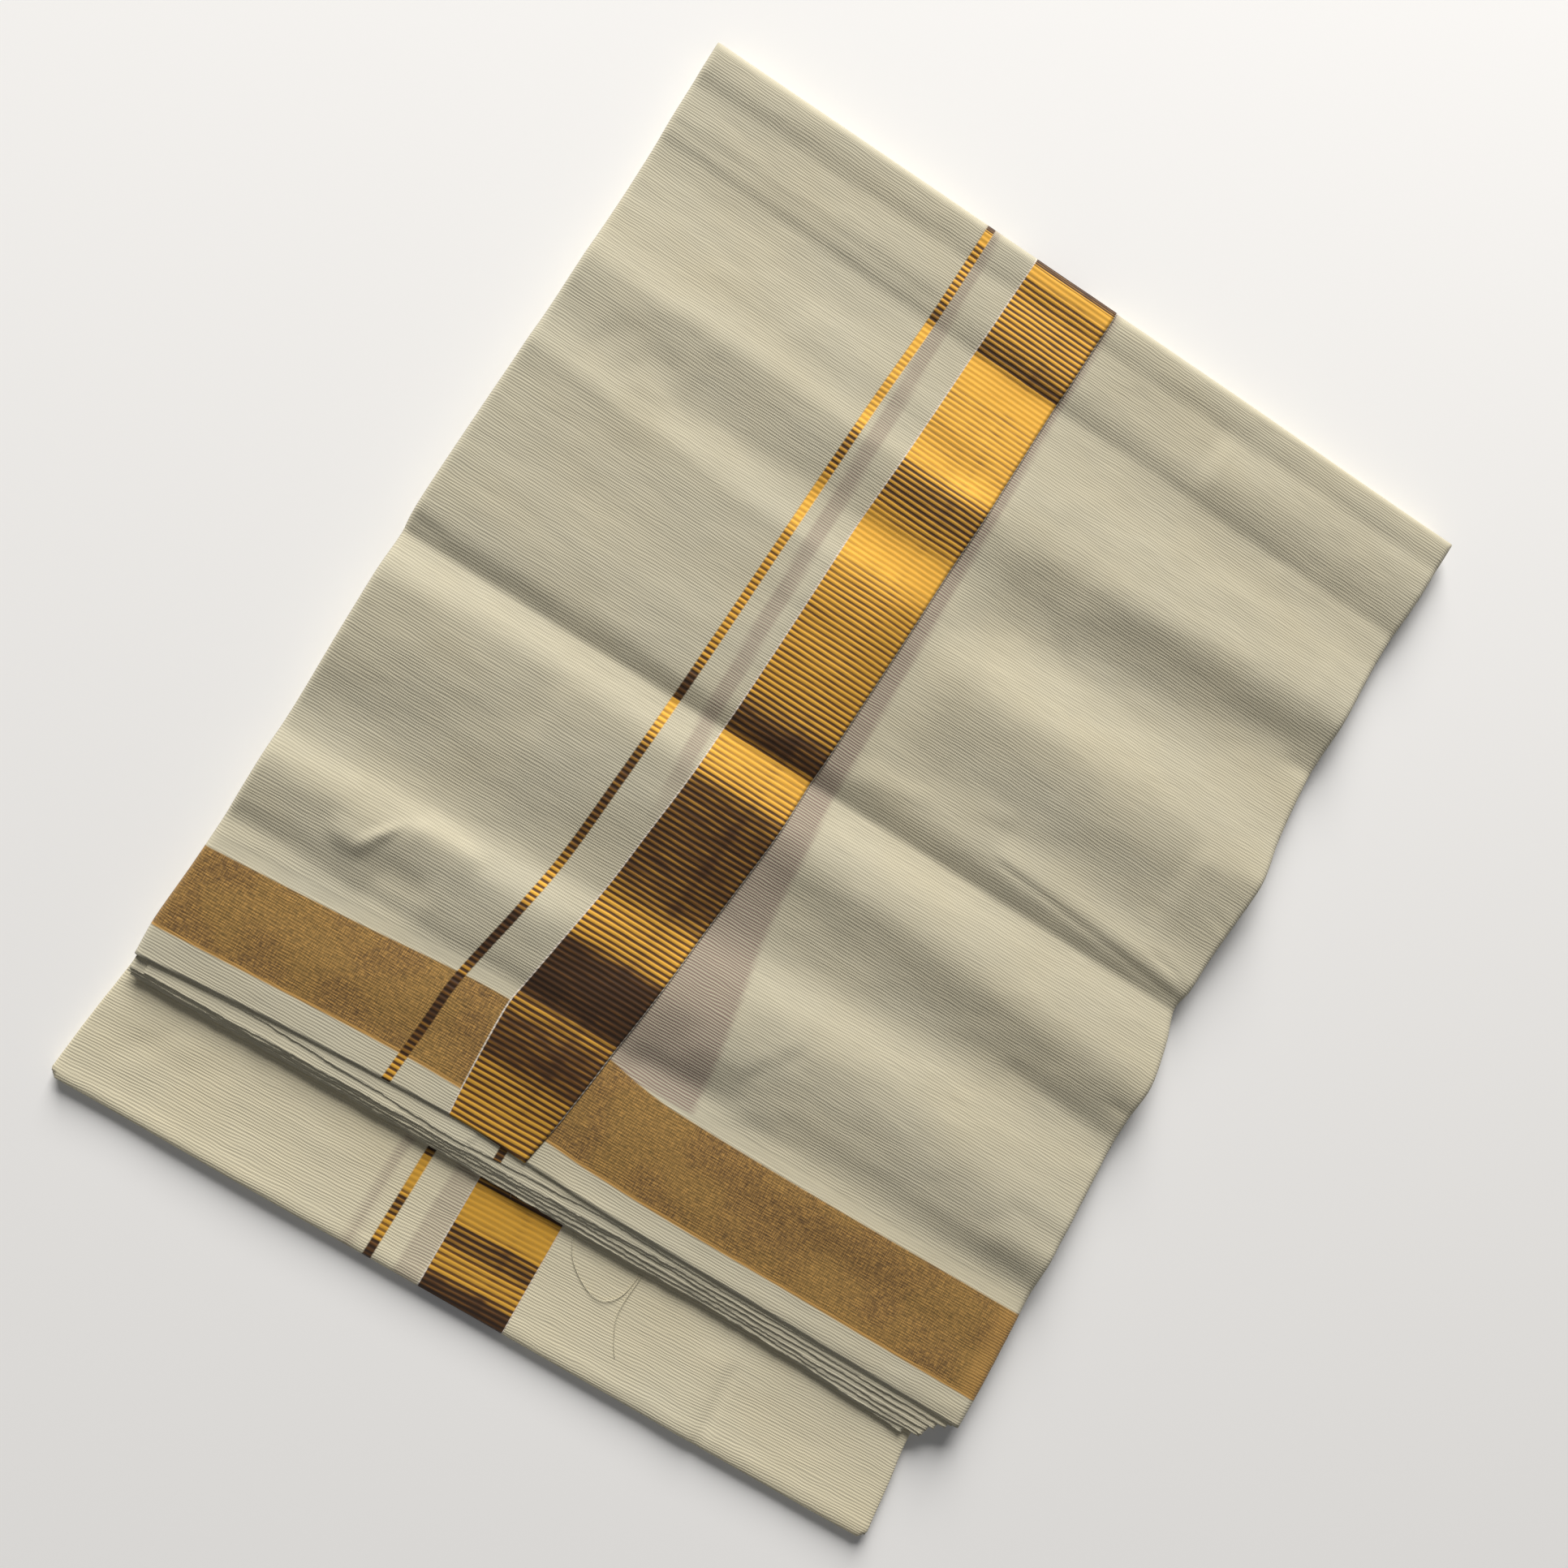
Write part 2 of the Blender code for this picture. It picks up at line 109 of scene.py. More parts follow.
# %% [markdown]
# ## The folds and creases
#
# A pack that has been pressed, unfolded and folded again keeps its old creases as soft troughs,
# and the slack between them rises in low swells. Each one is a row here: three points along it,
# how far it spreads down and up the pack, and its height. A bell shaped section gives both, and
# uneven spreads make one flank steep and the other long, as in real cloth. A simulation could
# crease the cloth too, but never in these places.
# %% The main folds of the upper layers
Fold = namedtuple("Fold", "name x0 up0 x1 up1 x2 up2 below above height")
MAIN_FOLDS = (
    Fold("hollow behind the top roll", -260, 460.5, 0, 463, 260, 465.5, 22, 7, -1.4),
    Fold("second pressed crease", -260, 427, 0, 424.5, 260, 423.5, 28, 13, -2.8),
    Fold("upper left swell", -260, 364, -100, 363, 20, 362, 28, 13, 3.1),
    Fold("upper right swell", -20, 363, 70, 371, 260, 378, 18, 24, 2.6),
    Fold("upper left hollow", -168, 337, -110, 335, 20, 335, 12, 24, -1.6),
    Fold("upper right hollow", 13, 336, 70, 331, 260, 359, 24, 21, -3.4),
    Fold("left swell over the middle", -260, 322, -120, 309, 20, 303, 112, 13, 3.3),
    Fold("right swell over the middle", 0, 293, 110, 290, 260, 287, 27, 18, 3.7),
    Fold("right hollow over the middle", 20, 243, 120, 247, 215, 240, 8, 16, -0.9),
    Fold("middle crease", -260, 219, 0, 216.5, 260, 215, 11, 8, -3.0),
    Fold("left swell under the middle", -260, 193, -120, 195, 0, 188, 40, 15, 3.0),
    Fold("right swell under the middle", -30, 188, 100, 182, 260, 171, 16, 17, 3.5),
    Fold("left hollow", -260, 120, -140, 123, -20, 131, 13, 25, -2.8),
    Fold("right hollow", -40, 135, 90, 143, 260, 142, 15, 18, -3.0),
    Fold("pinched left ridge", -260, 105, -150, 107, -40, 104, 16, 13, 2.7),
    Fold("pinched right ridge", -40, 100, 70, 110, 260, 84, 20, 24, 3.0),
    Fold("hollow along the cross band", -260, 73, -40, 71, 260, 65, 12, 8, -1.9),
)
FOLD_FADE = 35.0
SIDE_SWELL = 0.5


def height_of(folds, x, up, fade):
    """The height that a table of folds adds at each place."""
    total = np.zeros(np.broadcast(x, up).shape)
    for fold in folds:
        line = smooth_line(((fold.x0, fold.up0), (fold.x1, fold.up1), (fold.x2, fold.up2)), x)
        ends = smooth_step((x - fold.x0) / fade) * smooth_step((fold.x2 - x) / fade)
        across = up - line
        across = np.where(across > 0, across / fold.above, across / fold.below)
        total += fold.height * ends * np.exp(-across * across)
    return total


sample_x, sample_up = np.meshgrid(np.arange(-200, 201, 10), np.arange(20, 470, 5))
heights = height_of(MAIN_FOLDS, sample_x, sample_up, FOLD_FADE)
print(f"{len(MAIN_FOLDS)} main folds, from {heights.min():.1f} to {heights.max():.1f} mm")

# %% [markdown]
# ## Small creases
#
# Between the main folds lie short tucks and pinches, mostly where two creases meet. They are
# placed in the same way, but fade over a shorter stretch. A little slow noise, longer
# across the pack than along it, adds the shakes that no table would hold.
# %% Small creases and the cloth's own unevenness
SMALL_CREASES = (
    Fold("sharp line of the middle crease", -260, 219.2, 0, 217.4, 260, 215.2, 2.4, 1.6, -0.45),
    Fold("sharp line of the second crease", -260, 432.0, 0, 429.4, 260, 427.0, 3.0, 3.0, -0.25),
    Fold("upper line of the second crease", -220, 441.0, -150, 440.5, -60, 439.5, 3.6, 3.2, -0.3),
    Fold("shoulder over the second crease", 80, 452, 130, 454, 235, 460, 16, 14, 1.2),
    Fold("tuck over the middle crease", 85, 234, 130, 233, 208, 226, 6, 4, 0.5),
    Fold("line of that tuck", 86, 231.5, 140, 227, 208, 219.5, 1.7, 1.3, -0.6),
    Fold("short line by the right fold", 174, 234, 190, 231, 209, 225, 2.2, 1.8, -0.4),
    Fold("slack by the right fold", 168, 278, 195, 283, 232, 286, 34, 10, 1.1),
    Fold("tuck at the left of the middle crease", -225, 227, -206, 226, -190, 224, 3.0, 2.6, -0.4),
    Fold("bright streak over the middle crease", 8, 230, 50, 240, 95, 252, 6, 7, 0.5),
    Fold("soft drag in the upper left", -192, 336, -166, 351, -138, 366, 10, 9, -0.4),
    Fold("lit tongue in the upper left", -172, 341, -156, 343, -141, 341, 8, 6, -0.7),
    Fold("rise under that tongue", -172, 329, -156, 330, -141, 328, 7, 7, 0.5),
    Fold("long wave in the upper left", -120, 396, -60, 392, 10, 388, 9, 9, 0.5),
    Fold("soft line over the upper right swell", 30, 380, 110, 384, 190, 392, 10, 12, -0.4),
    Fold("drag line in the upper right", 44, 352, 62, 336, 84, 320, 8, 8, -0.4),
    Fold("crest over the upper right hollow", 60, 366, 150, 367, 235, 366, 9, 14, 0.45),
    Fold("soft wave over the right middle", 95, 268, 150, 270, 212, 262, 10, 11, 0.3),
    Fold("soft step over the left middle", -250, 245, -150, 243, -46, 247, 14, 36, 0.25),
    Fold("long sag over the left middle", -250, 292, -150, 290, -46, 290, 40, 30, -1.2),
    Fold("broad drag in the lower left", -222, 126, -172, 150, -112, 184, 18, 18, -0.5),
    Fold("tongue of the pinch", -176, 94, -159, 92, -145, 97, 5, 7, 1.6),
    Fold("sharp side of that tongue", -161, 90, -151, 101, -141, 112, 5, 3, 1.5),
    Fold("hollow over the tongue", -174, 112, -157, 110, -144, 113, 7, 7, -0.6),
    Fold("crest right of the pinch", -148, 105, -135, 112, -104, 110, 8, 5, 1.1),
    Fold("dent under that crest", -152, 84, -140, 87, -116, 85, 8, 9, -1.2),
    Fold("line under the left ridge", -216, 79, -180, 79, -146, 81, 5.0, 5.0, -0.2),
    Fold("second line in the right hollow", 140, 153, 176, 150, 212, 147, 5.0, 4.5, -0.6),
    Fold("second tick on the right edge", 189, 264, 199, 262, 214, 258, 2.6, 2.2, -0.4),
    Fold("tick on the right edge", 190, 163, 203, 162, 216, 161, 3.0, 3.0, -0.6),
    Fold("tuck on the right edge", 186, 348, 202, 348, 216, 350, 4.5, 4.0, -0.6),
    Fold("small fold by the right fold", 170, 84, 195, 84, 232, 82, 8, 7, 0.8),
    Fold("small hollow over that fold", 172, 98, 195, 97, 232, 96, 5, 5, -0.5),
    Fold("lobe in the lower right", 6, 90, 30, 92, 60, 101, 7, 10, 0.9),
    Fold("hollow left of the lobe", -12, 72, 22, 75, 54, 80, 7, 6, -0.8),
    Fold("streak beside the lobe", 36, 84, 48, 97, 64, 113, 7, 7, -0.6),
    Fold("line under the right ridge", 60, 79, 140, 77, 212, 72, 6, 5, -0.5),
    Fold("edge beside the cross band", -214, 69, -120, 70, -30, 70, 5, 4, 0.35),
    Fold("soft dent in the cross band", 100, 38, 150, 34, 212, 30, 10, 9, -0.6),
    Fold("soft rise in the cross band", -214, 42, -150, 40, -90, 44, 10, 9, 0.5),
    Fold("roll of the right raw end", -10, 7, 90, 6.5, 212, 5, 4.5, 4.0, 0.5),
)
SMALL_FADE = 12.0
# Slow unevenness: how long it is across and along the pack, and how high
SHAKES = ((70.0, 26.0, 0.55), (26.0, 11.0, 0.22), (10.0, 5.0, 0.07))


def shakes(x, up):
    total = np.zeros(np.broadcast(x, up).shape)
    for number, (across, along, height) in enumerate(SHAKES):
        flat_x = np.broadcast_to(x, total.shape).ravel() / across
        flat_up = np.broadcast_to(up, total.shape).ravel() / along
        wave = [noise.noise(Vector((a, b, 7.3 * number))) for a, b in zip(flat_x, flat_up)]
        total += height * np.array(wave).reshape(total.shape)
    return total


def surface_swell(x, up, fine=True):
    """How far the upper layers rise or fall from flat at each place."""
    swell = height_of(MAIN_FOLDS, x, up, FOLD_FADE)
    if fine:
        swell += height_of(SMALL_CREASES, x, up, SMALL_FADE) + shakes(x, up)
    return swell


print(f"{len(SMALL_CREASES)} small creases")

# %% [markdown]
# ## The woven pattern
#
# The gold border, the thin stripe beside it and the cross band are woven in, so they are colour
# and never raised. They could be painted in an image, but a few numbers on each corner of the
# mesh say the same and stay sharp at any size: how far through the border a place lies, how far
# through the stripe and the cross band, how much of the gold thread catches the light there, and
# how much of a lower layer's border shows through the thin cotton.
# %% Where the woven bands lie on the upper layers
BORDER_LEFT = (
    (0, -63.0), (10, -63.5), (20, -64.5), (45, -66.0), (65, -66.5), (75, -65.0), (100, -61.0),
    (130, -56.0), (160, -53.0), (190, -50.0), (220, -48.0), (270, -46.0), (320, -44.5),
    (380, -41.0), (430, -38.5), (485.4, -36.0), (500, -35.5),
)
STRIPE_MIDDLE = (
    (0, -95.0), (10, -94.5), (40, -92.5), (60, -91.5), (80, -88.0), (100, -84.0), (130, -79.0),
    (170, -76.0), (218, -73.0), (260, -71.0), (310, -69.0), (380, -66.0), (430, -63.0),
    (485.4, -61.5), (500, -61.0),
)
STRIPE_WIDTH = 4.2
CROSS_TOP = (
    (-215, 59), (-150, 62), (-90, 66), (-66, 66.5), (-19, 66), (0, 62.5), (20, 60), (100, 58),
    (215, 57),
)
CROSS_LOW = (
    (-215, 19.5), (-150, 22), (-94, 23.5), (-66, 23), (-21, 21), (0, 19), (60, 16.5), (130, 15),
    (215, 13),
)
# The border of a layer below, seen through the plain stretch: its right edge
GHOST_RIGHT = (
    (60, 31), (80, 29), (105, 25), (130, 21), (150, 18), (180, 15), (215, 13), (300, 12),
    (420, 12), (485.4, 13), (500, 13),
)
# The thin stripe of a layer below, seen beside the upper one: its middle
GHOST_STRIPE = (
    (150, -52.0), (220, -56.0), (300, -57.0), (400, -57.5), (485.4, -60.0), (500, -60.5),
)
# How soft the shown-through bands' edges are, and how strongly they show
GHOST_SOFT = 3.0
GHOST_LAP = 1.5
GHOST_LOWEST = 62
GHOST_STRIPE_HALF = 4.8
GHOST_STRIPE_SOFT = 2.0
GHOST_STRIPE_SHARE = 0.75
GHOST_STRIPE_FROM = 150
GHOST_STRIPE_FADE = 60
# How much gold is left where the thin stripe crosses the cross band
CROSSED_GOLD = 0.35
CROSSED_REACH = 5
# How much of the gold thread catches the light, up the pack
GOLD_LIT = (
    (0, 0.44), (12, 0.48), (26, 0.52), (29, 0.42), (38, 0.38), (42, 0.16), (60, 0.14), (65, 0.28),
    (70, 0.36), (73, 0.07), (100, 0.03), (103, 0.14), (106, 0.38), (112, 0.51), (122, 0.52),
    (128, 0.50), (131, 0.34), (140, 0.20), (160, 0.16), (185, 0.18), (192, 0.26), (199, 0.62),
    (206, 0.74), (217, 0.80), (219, 0.22), (222, 0.11), (229, 0.12), (236, 0.36), (248, 0.56),
    (300, 0.64), (311, 0.72), (318, 0.95), (334, 0.92), (342, 0.60), (352, 0.36), (364, 0.44),
    (371, 0.88), (386, 0.80), (400, 0.84), (410, 0.82), (415, 0.98), (428.5, 0.98), (430.5, 0.32),
    (438, 0.36), (444, 0.50), (470, 0.55), (473, 0.60), (475, 0.98), (479.5, 0.98), (481, 0.15),
    (500, 0.10),
)
NO_BAND = -9.0


def through(left, right, at):
    """0 on the left edge of a band and 1 on its right edge, going on evenly outside it."""
    return (at - left) / (right - left)


def upper_pattern(x, up):
    """The numbers that place the woven bands on the two upper stretches."""
    selvedge = smooth_line(SELVEDGE, up)
    stripe = smooth_line(STRIPE_MIDDLE, up)
    ghost_stripe = smooth_line(GHOST_STRIPE, up)
    ghost_border = smooth_step((smooth_line(GHOST_RIGHT, up) - x) / GHOST_SOFT)
    ghost_border = ghost_border * (x > selvedge - GHOST_LAP) * (up > GHOST_LOWEST)
    in_cross = (up < smooth_line(CROSS_TOP, x)) & (up > smooth_line(CROSS_LOW, x))
    near_stripe = smooth_step((GHOST_STRIPE_HALF - abs(x - ghost_stripe)) / GHOST_STRIPE_SOFT)
    near_stripe = near_stripe * smooth_step((up - GHOST_STRIPE_FROM) / GHOST_STRIPE_FADE)
    on_crossing = in_cross & (x < stripe + CROSSED_REACH)
    return {
        "border": through(smooth_line(BORDER_LEFT, up), selvedge, x),
        "stripe": through(stripe - STRIPE_WIDTH / 2, stripe + STRIPE_WIDTH / 2, x),
        "cross_band": through(smooth_line(CROSS_TOP, x), smooth_line(CROSS_LOW, x), up),
        "gold_lit": smooth_line(GOLD_LIT, up) * np.where(on_crossing, CROSSED_GOLD, 1.0),
        "shows_through": np.maximum(ghost_border, GHOST_STRIPE_SHARE * near_stripe),
    }


print(f"the gold border is {SELVEDGE[-1][1] - BORDER_LEFT[-2][1]:.0f} mm wide at the top")

# %% [markdown]
# ## A sheet from a grid
#
# Every piece of cloth here is a grid of places: rows along the pack and columns across it. It
# could also be a subdivided plane pulled into shape, but a grid that is worked out in one go keeps
# each column on its own thread line, so the weave follows the folds. The flat cloth's own
# coordinates go into a UV map, in metres, and the band numbers into attributes.
# %% Make a mesh from a grid
def make_grid(name, x, up, z, pattern, thread):
    """A mesh object from arrays of millimetres, with the cloth's own coordinates as its UV map."""
    rows, columns = x.shape
    numbers = np.arange(rows * columns).reshape(rows, columns)
    faces = np.stack(
        [numbers[:-1, :-1], numbers[:-1, 1:], numbers[1:, 1:], numbers[1:, :-1]], axis=-1
    ).reshape(-1, 4)
    mesh = bpy.data.meshes.new(name)
    mesh.from_pydata(place(x, up, z).reshape(-1, 3).tolist(), [], faces.tolist())
    add_cloth_data(mesh, pattern, thread)
    piece = bpy.data.objects.new(name, mesh)
    bpy.context.scene.collection.objects.link(piece)
    return piece


def add_cloth_data(mesh, pattern, thread):
    """The band numbers as attributes, and the cloth's own coordinates in metres as a UV map."""
    for key, values in pattern.items():
        numbers = np.broadcast_to(values, thread[0].shape).ravel().astype(np.float32)
        mesh.attributes.new(key, "FLOAT", "POINT").data.foreach_set("value", numbers)
    corners = np.zeros(len(mesh.loops), np.int32)
    mesh.loops.foreach_get("vertex_index", corners)
    flat = np.stack([thread[0].ravel(), thread[1].ravel()], axis=-1) * MM
    layer = mesh.uv_layers.new(name="cloth")
    layer.data.foreach_set("uv", flat[corners].astype(np.float32).ravel())
    mesh.shade_smooth()


def thicken(piece, thickness):
    """Give a sheet the thickness of its cloth, downwards from its visible side."""
    wall = piece.modifiers.new("thickness", "SOLIDIFY")
    wall.thickness = thickness * MM
    wall.offset = -1.0
    wall.use_even_offset = False
    bpy.context.view_layer.objects.active = piece
    piece.select_set(True)
    bpy.ops.object.modifier_apply(modifier=wall.name)
    piece.select_set(False)
    return len(piece.data.polygons)


# %% [markdown]
# ## The two upper stretches
#
# The bordered stretch comes up round the left fold, crosses the pack and ends at its selvedge,
# along the gold border. The plain stretch comes out from under that selvedge and goes down round
# the right fold. Both roll over the top fold. They could be one sheet, but the small step at the
# selvedge is the most telling line of the pack, so they are two.
# %% The surface of the upper layers
COLUMN_STEP = 2.0
BORDERED_WIDTH = 222
PLAIN_WIDTH = 212
ROW_STEP = 1.7
FOLD_TUCK = math.radians(-24)
ROLL_STEPS = 7
TOP_STEPS = 8
CORNER_POWER = 4
CLOTH = 0.34
THREAD_SLANT = 0.012
# How far under the outermost surface the plain stretch lies: at the selvedge, and at its fold
PLAIN_OUT_SELVEDGE = 0.42
PLAIN_OUT_FOLD = 1.3


def up_rows(step):
    """(up, angle) of each row: level up to the top roll, then round it."""
    level = np.linspace(0, STRIP_LENGTH - TOP_ROLL, int((STRIP_LENGTH - TOP_ROLL) / step) + 1)
    angles = np.linspace(math.pi / 2, math.radians(-12), TOP_STEPS + 1)[1:]
    up = np.r_[level, np.full(TOP_STEPS, level[-1])]
    return up[:, None], np.r_[np.full(len(level), math.pi / 2), angles][:, None]


def upper_height(x, up, out, side_angle, side_out, top_angle, fine=True):
    """z of an upper layer that lies `out` under the outermost one and is rolled at its folds."""
    side_drop = (SIDE_ROLL - side_out) * (1.0 - np.sin(side_angle))
    top_drop = (TOP_ROLL - out) * (1.0 - np.sin(top_angle))
    drop = (side_drop**CORNER_POWER + top_drop**CORNER_POWER) ** (1 / CORNER_POWER)
    level = np.clip(np.sin(side_angle), 0, 1)
    swell = surface_swell(x, up, fine) * (SIDE_SWELL + (1 - SIDE_SWELL) * level)
    return STACK_HEIGHT - out - drop + swell * np.clip(np.sin(top_angle), 0, 1)


def round_top(up, out, top_angle):
    return np.where(
        top_angle < math.pi / 2 - 1e-6,
        STRIP_LENGTH - TOP_ROLL + (TOP_ROLL - out) * np.cos(top_angle),
        up,
    )


def plain_out(share):
    """How deep the plain stretch lies, from the selvedge (0) to the right fold (1)."""
    sink = smooth_step((share - 0.3) / 0.6)
    return PLAIN_OUT_SELVEDGE + (PLAIN_OUT_FOLD - PLAIN_OUT_SELVEDGE) * sink


def to_raw_end(x, up):
    """Rows near the raw end bend so that the last one lies along it."""
    end = smooth_line(RAW_END, x)
    return np.where(up < RAW_END_BLEND, end + (RAW_END_BLEND - end) * up / RAW_END_BLEND, up)


# %% [markdown]
# ## The bordered stretch
#
# This is the part with the border, turned back over the rest. Its columns start tucked under the
# left fold, come up round it and run level to the selvedge. Angles place the columns of the roll,
# because even widths would leave its steepest part coarse.
# %% The bordered stretch
up, top_angle = up_rows(ROW_STEP)
angles = np.linspace(FOLD_TUCK, math.pi / 2, ROLL_STEPS + 1)[:-1]
level_columns = int(BORDERED_WIDTH / COLUMN_STEP)
share = np.r_[np.zeros(ROLL_STEPS), np.linspace(0, 1, level_columns)][None, :]
side_angle = np.r_[angles, np.full(level_columns, math.pi / 2)][None, :]
rolled_up = round_top(up, 0.0, top_angle)
left = smooth_line(LEFT_FOLD, rolled_up)
selvedge = smooth_line(SELVEDGE, rolled_up)
x = left + SIDE_ROLL * (1 - np.cos(side_angle)) + share * (selvedge - left - SIDE_ROLL)
up_here = to_raw_end(x, rolled_up + 0 * x)
z = upper_height(x, up_here, 0.0, side_angle, 0.0, top_angle)
thread_x = x + SIDE_ROLL * (side_angle - math.pi / 2)
thread_up = up_here + TOP_ROLL * (math.pi / 2 - top_angle) + THREAD_SLANT * x
bordered_cloth = make_grid(
    "bordered_cloth", x, up_here, z, upper_pattern(x, up_here), (thread_x, thread_up)
)
print("bordered_cloth faces:", thicken(bordered_cloth, CLOTH))

# %% [markdown]
# ## The plain stretch
#
# Only the strip right of the selvedge shows, but the cloth goes on under it, so some columns are
# hidden as a lap. Without the lap a gap would open at the step. It sinks a little towards the right
# fold, to leave room for the layer it rolls over.
# %% The plain stretch
lap_columns = int(LAP / COLUMN_STEP)
plain_columns = int(PLAIN_WIDTH / COLUMN_STEP)
share = np.r_[np.zeros(lap_columns), np.linspace(0, 1, plain_columns), np.ones(ROLL_STEPS)]
under = np.r_[np.linspace(-LAP, 0, lap_columns + 1)[:-1], np.zeros(plain_columns + ROLL_STEPS)]
share, under = share[None, :], under[None, :]
side_angle = np.r_[np.full(lap_columns + plain_columns, math.pi / 2), angles[::-1]][None, :]
out = plain_out(share)
rolled_up = round_top(up, out, top_angle)
right = smooth_line(RIGHT_FOLD, rolled_up)
selvedge = smooth_line(SELVEDGE, rolled_up)
reach = SIDE_ROLL * np.cos(side_angle)
x = selvedge + under + share * (right - SIDE_ROLL - selvedge) + reach
up_here = to_raw_end(x, rolled_up)
z = upper_height(x, up_here, out, side_angle, 0.0, top_angle)
thread_x = x + SIDE_ROLL * (math.pi / 2 - side_angle)
thread_up = up_here + TOP_ROLL * (math.pi / 2 - top_angle) + THREAD_SLANT * x
pattern = upper_pattern(x, up_here)
pattern["border"] = np.full(x.shape, NO_BAND)
pattern["stripe"] = np.full(x.shape, NO_BAND)
plain_cloth = make_grid("plain_cloth", x, up_here, z, pattern, (thread_x, thread_up))
print("plain_cloth faces:", thicken(plain_cloth, CLOTH))

# %% [markdown]
# ## The hidden layers
#
# Under the top stretches lie about twenty more layers. Only their folds show, along the sides, so
# they are one closed form with five bulging folds, each for a few layers. Modelling each layer
# would be true, but all that would show is a similar row of rounded edges. Each fold wanders in
# and out by its own slow noise, because nobody folds cloth in line with itself.
# %% Closed forms from rings
def rim_of(grid):
    """What lies round the edge of a grid, in order, seen from above."""
    return np.concatenate([grid[0], grid[1:-1, -1], grid[-1, ::-1], grid[1:-1, 0][::-1]])


def rim_sides(shape):
    """For each place round a grid's rim, which way is out: across the pack and up it."""
    across = np.zeros(shape)
    along = np.zeros(shape)
    across[:, 0], across[:, -1] = -1, 1
    along[0], along[-1] = -1, 1
    return rim_of(across), rim_of(along)


def make_closed(name, grid, rings, pattern, thread):
    """A grid on top, rings that go down round its rim, and a flat face under the last of them."""
    rows, columns = grid[0].shape
    numbers = np.arange(rows * columns).reshape(rows, columns)
    faces = np.stack(
        [numbers[:-1, :-1], numbers[:-1, 1:], numbers[1:, 1:], numbers[1:, :-1]], axis=-1
    ).reshape(-1, 4).tolist()
    points = [np.stack([part.ravel() for part in grid], axis=-1)]
    above = rim_of(numbers)
    count = len(above)
    next_number = rows * columns
    for ring in rings:
        points.append(np.stack(ring, axis=-1))
        below = np.arange(next_number, next_number + count)
        next_number += count
        after = np.roll(above, -1), np.roll(below, -1)
        faces += np.stack([above, below, after[1], after[0]], axis=-1).tolist()
        above = below
    faces.append(above[::-1].tolist())
    x, up, z = np.concatenate(points).T
    mesh = bpy.data.meshes.new(name)
    mesh.from_pydata(place(x, up, z).tolist(), [], faces)
    add_cloth_data(mesh, pattern(x, up), thread(x, up, z))
    mesh.polygons[-1].use_smooth = False
    piece = bpy.data.objects.new(name, mesh)
    bpy.context.scene.collection.objects.link(piece)
    return piece


def wander(along, seed, length, height):
    """A slow, uneven shake along an edge."""
    return height * np.array(
        [noise.noise(Vector((a / length, 3.1 * seed, 0.7))) for a in np.ravel(along)]
    ).reshape(np.shape(along))


def no_pattern(x, up):
    empty = np.full(x.shape, NO_BAND)
    return {
        "border": empty,
        "stripe": empty,
        "cross_band": empty,
        "gold_lit": 0 * x,
        "shows_through": 0 * x,
    }


# %% [markdown]
# ## The layers inside
#
# The form is a grid on top with rings going down round its rim. Each ring is one step round a
# folded edge, so five folds of a few steps each give the layered side. A bevel could round them,
# but would make them all alike.
# %% The hidden layers
STACK_FOLDS = 5
FOLD_STEPS = (0.0, 0.14, 0.34, 0.66, 0.86)
STACK_BOTTOM = LOWER_HEIGHT + LAYER_GAP
STACK_TOP_IN = 6.0
STACK_ROLL_IN = 1.5
STACK_END_IN = 11.0
STACK_GRID = 5.0
STACK_WIDTH = 420
# How deep the form's top lies under the outermost surface, on the left and more on the right
STACK_OUT = 1.5
STACK_OUT_RIGHT = 1.3
STACK_CLEAR = 0.5

up = np.linspace(0, 1, int(STRIP_LENGTH / STACK_GRID))[:, None]
across = np.linspace(0, 1, int(STACK_WIDTH / STACK_GRID))[None, :]


def stack_place(side_in, top_in, end_in):
    """The grid of the hidden layers, pulled in from the folds by these widths."""
    x = smooth_line(LEFT_FOLD, 0 * up) + 0 * across
    for _ in range(3):
        end = smooth_line(RAW_END, x) + end_in
        up_here = end + (STRIP_LENGTH - top_in - end) * up
        left = smooth_line(LEFT_FOLD, up_here) + side_in
        right = smooth_line(RIGHT_FOLD, up_here) - side_in
        x = left + (right - left) * across
    return x, up_here


x, up_here = stack_place(STACK_TOP_IN, STACK_TOP_IN, STACK_END_IN)
on_right = smooth_step((x - smooth_line(SELVEDGE, up_here)) / LAP + 1)
stack_out = STACK_OUT + STACK_OUT_RIGHT * on_right
grid = (x, up_here, STACK_HEIGHT - stack_out - STACK_CLEAR + surface_swell(x, up_here))
side_across, side_along = rim_sides(x.shape)
base_x, base_up = (rim_of(part) for part in stack_place(STACK_ROLL_IN, STACK_ROLL_IN, STACK_END_IN))
roll_drop = np.where(side_along > 0, TOP_ROLL, SIDE_ROLL) + STACK_CLEAR
fold_top = STACK_HEIGHT - roll_drop - PLAIN_OUT_FOLD * (base_x > 100)
fold_top = fold_top + SIDE_SWELL * surface_swell(base_x, base_up, fine=False)
around = base_up * (np.abs(side_across) > 0) + base_x * (side_across == 0)
rings = []
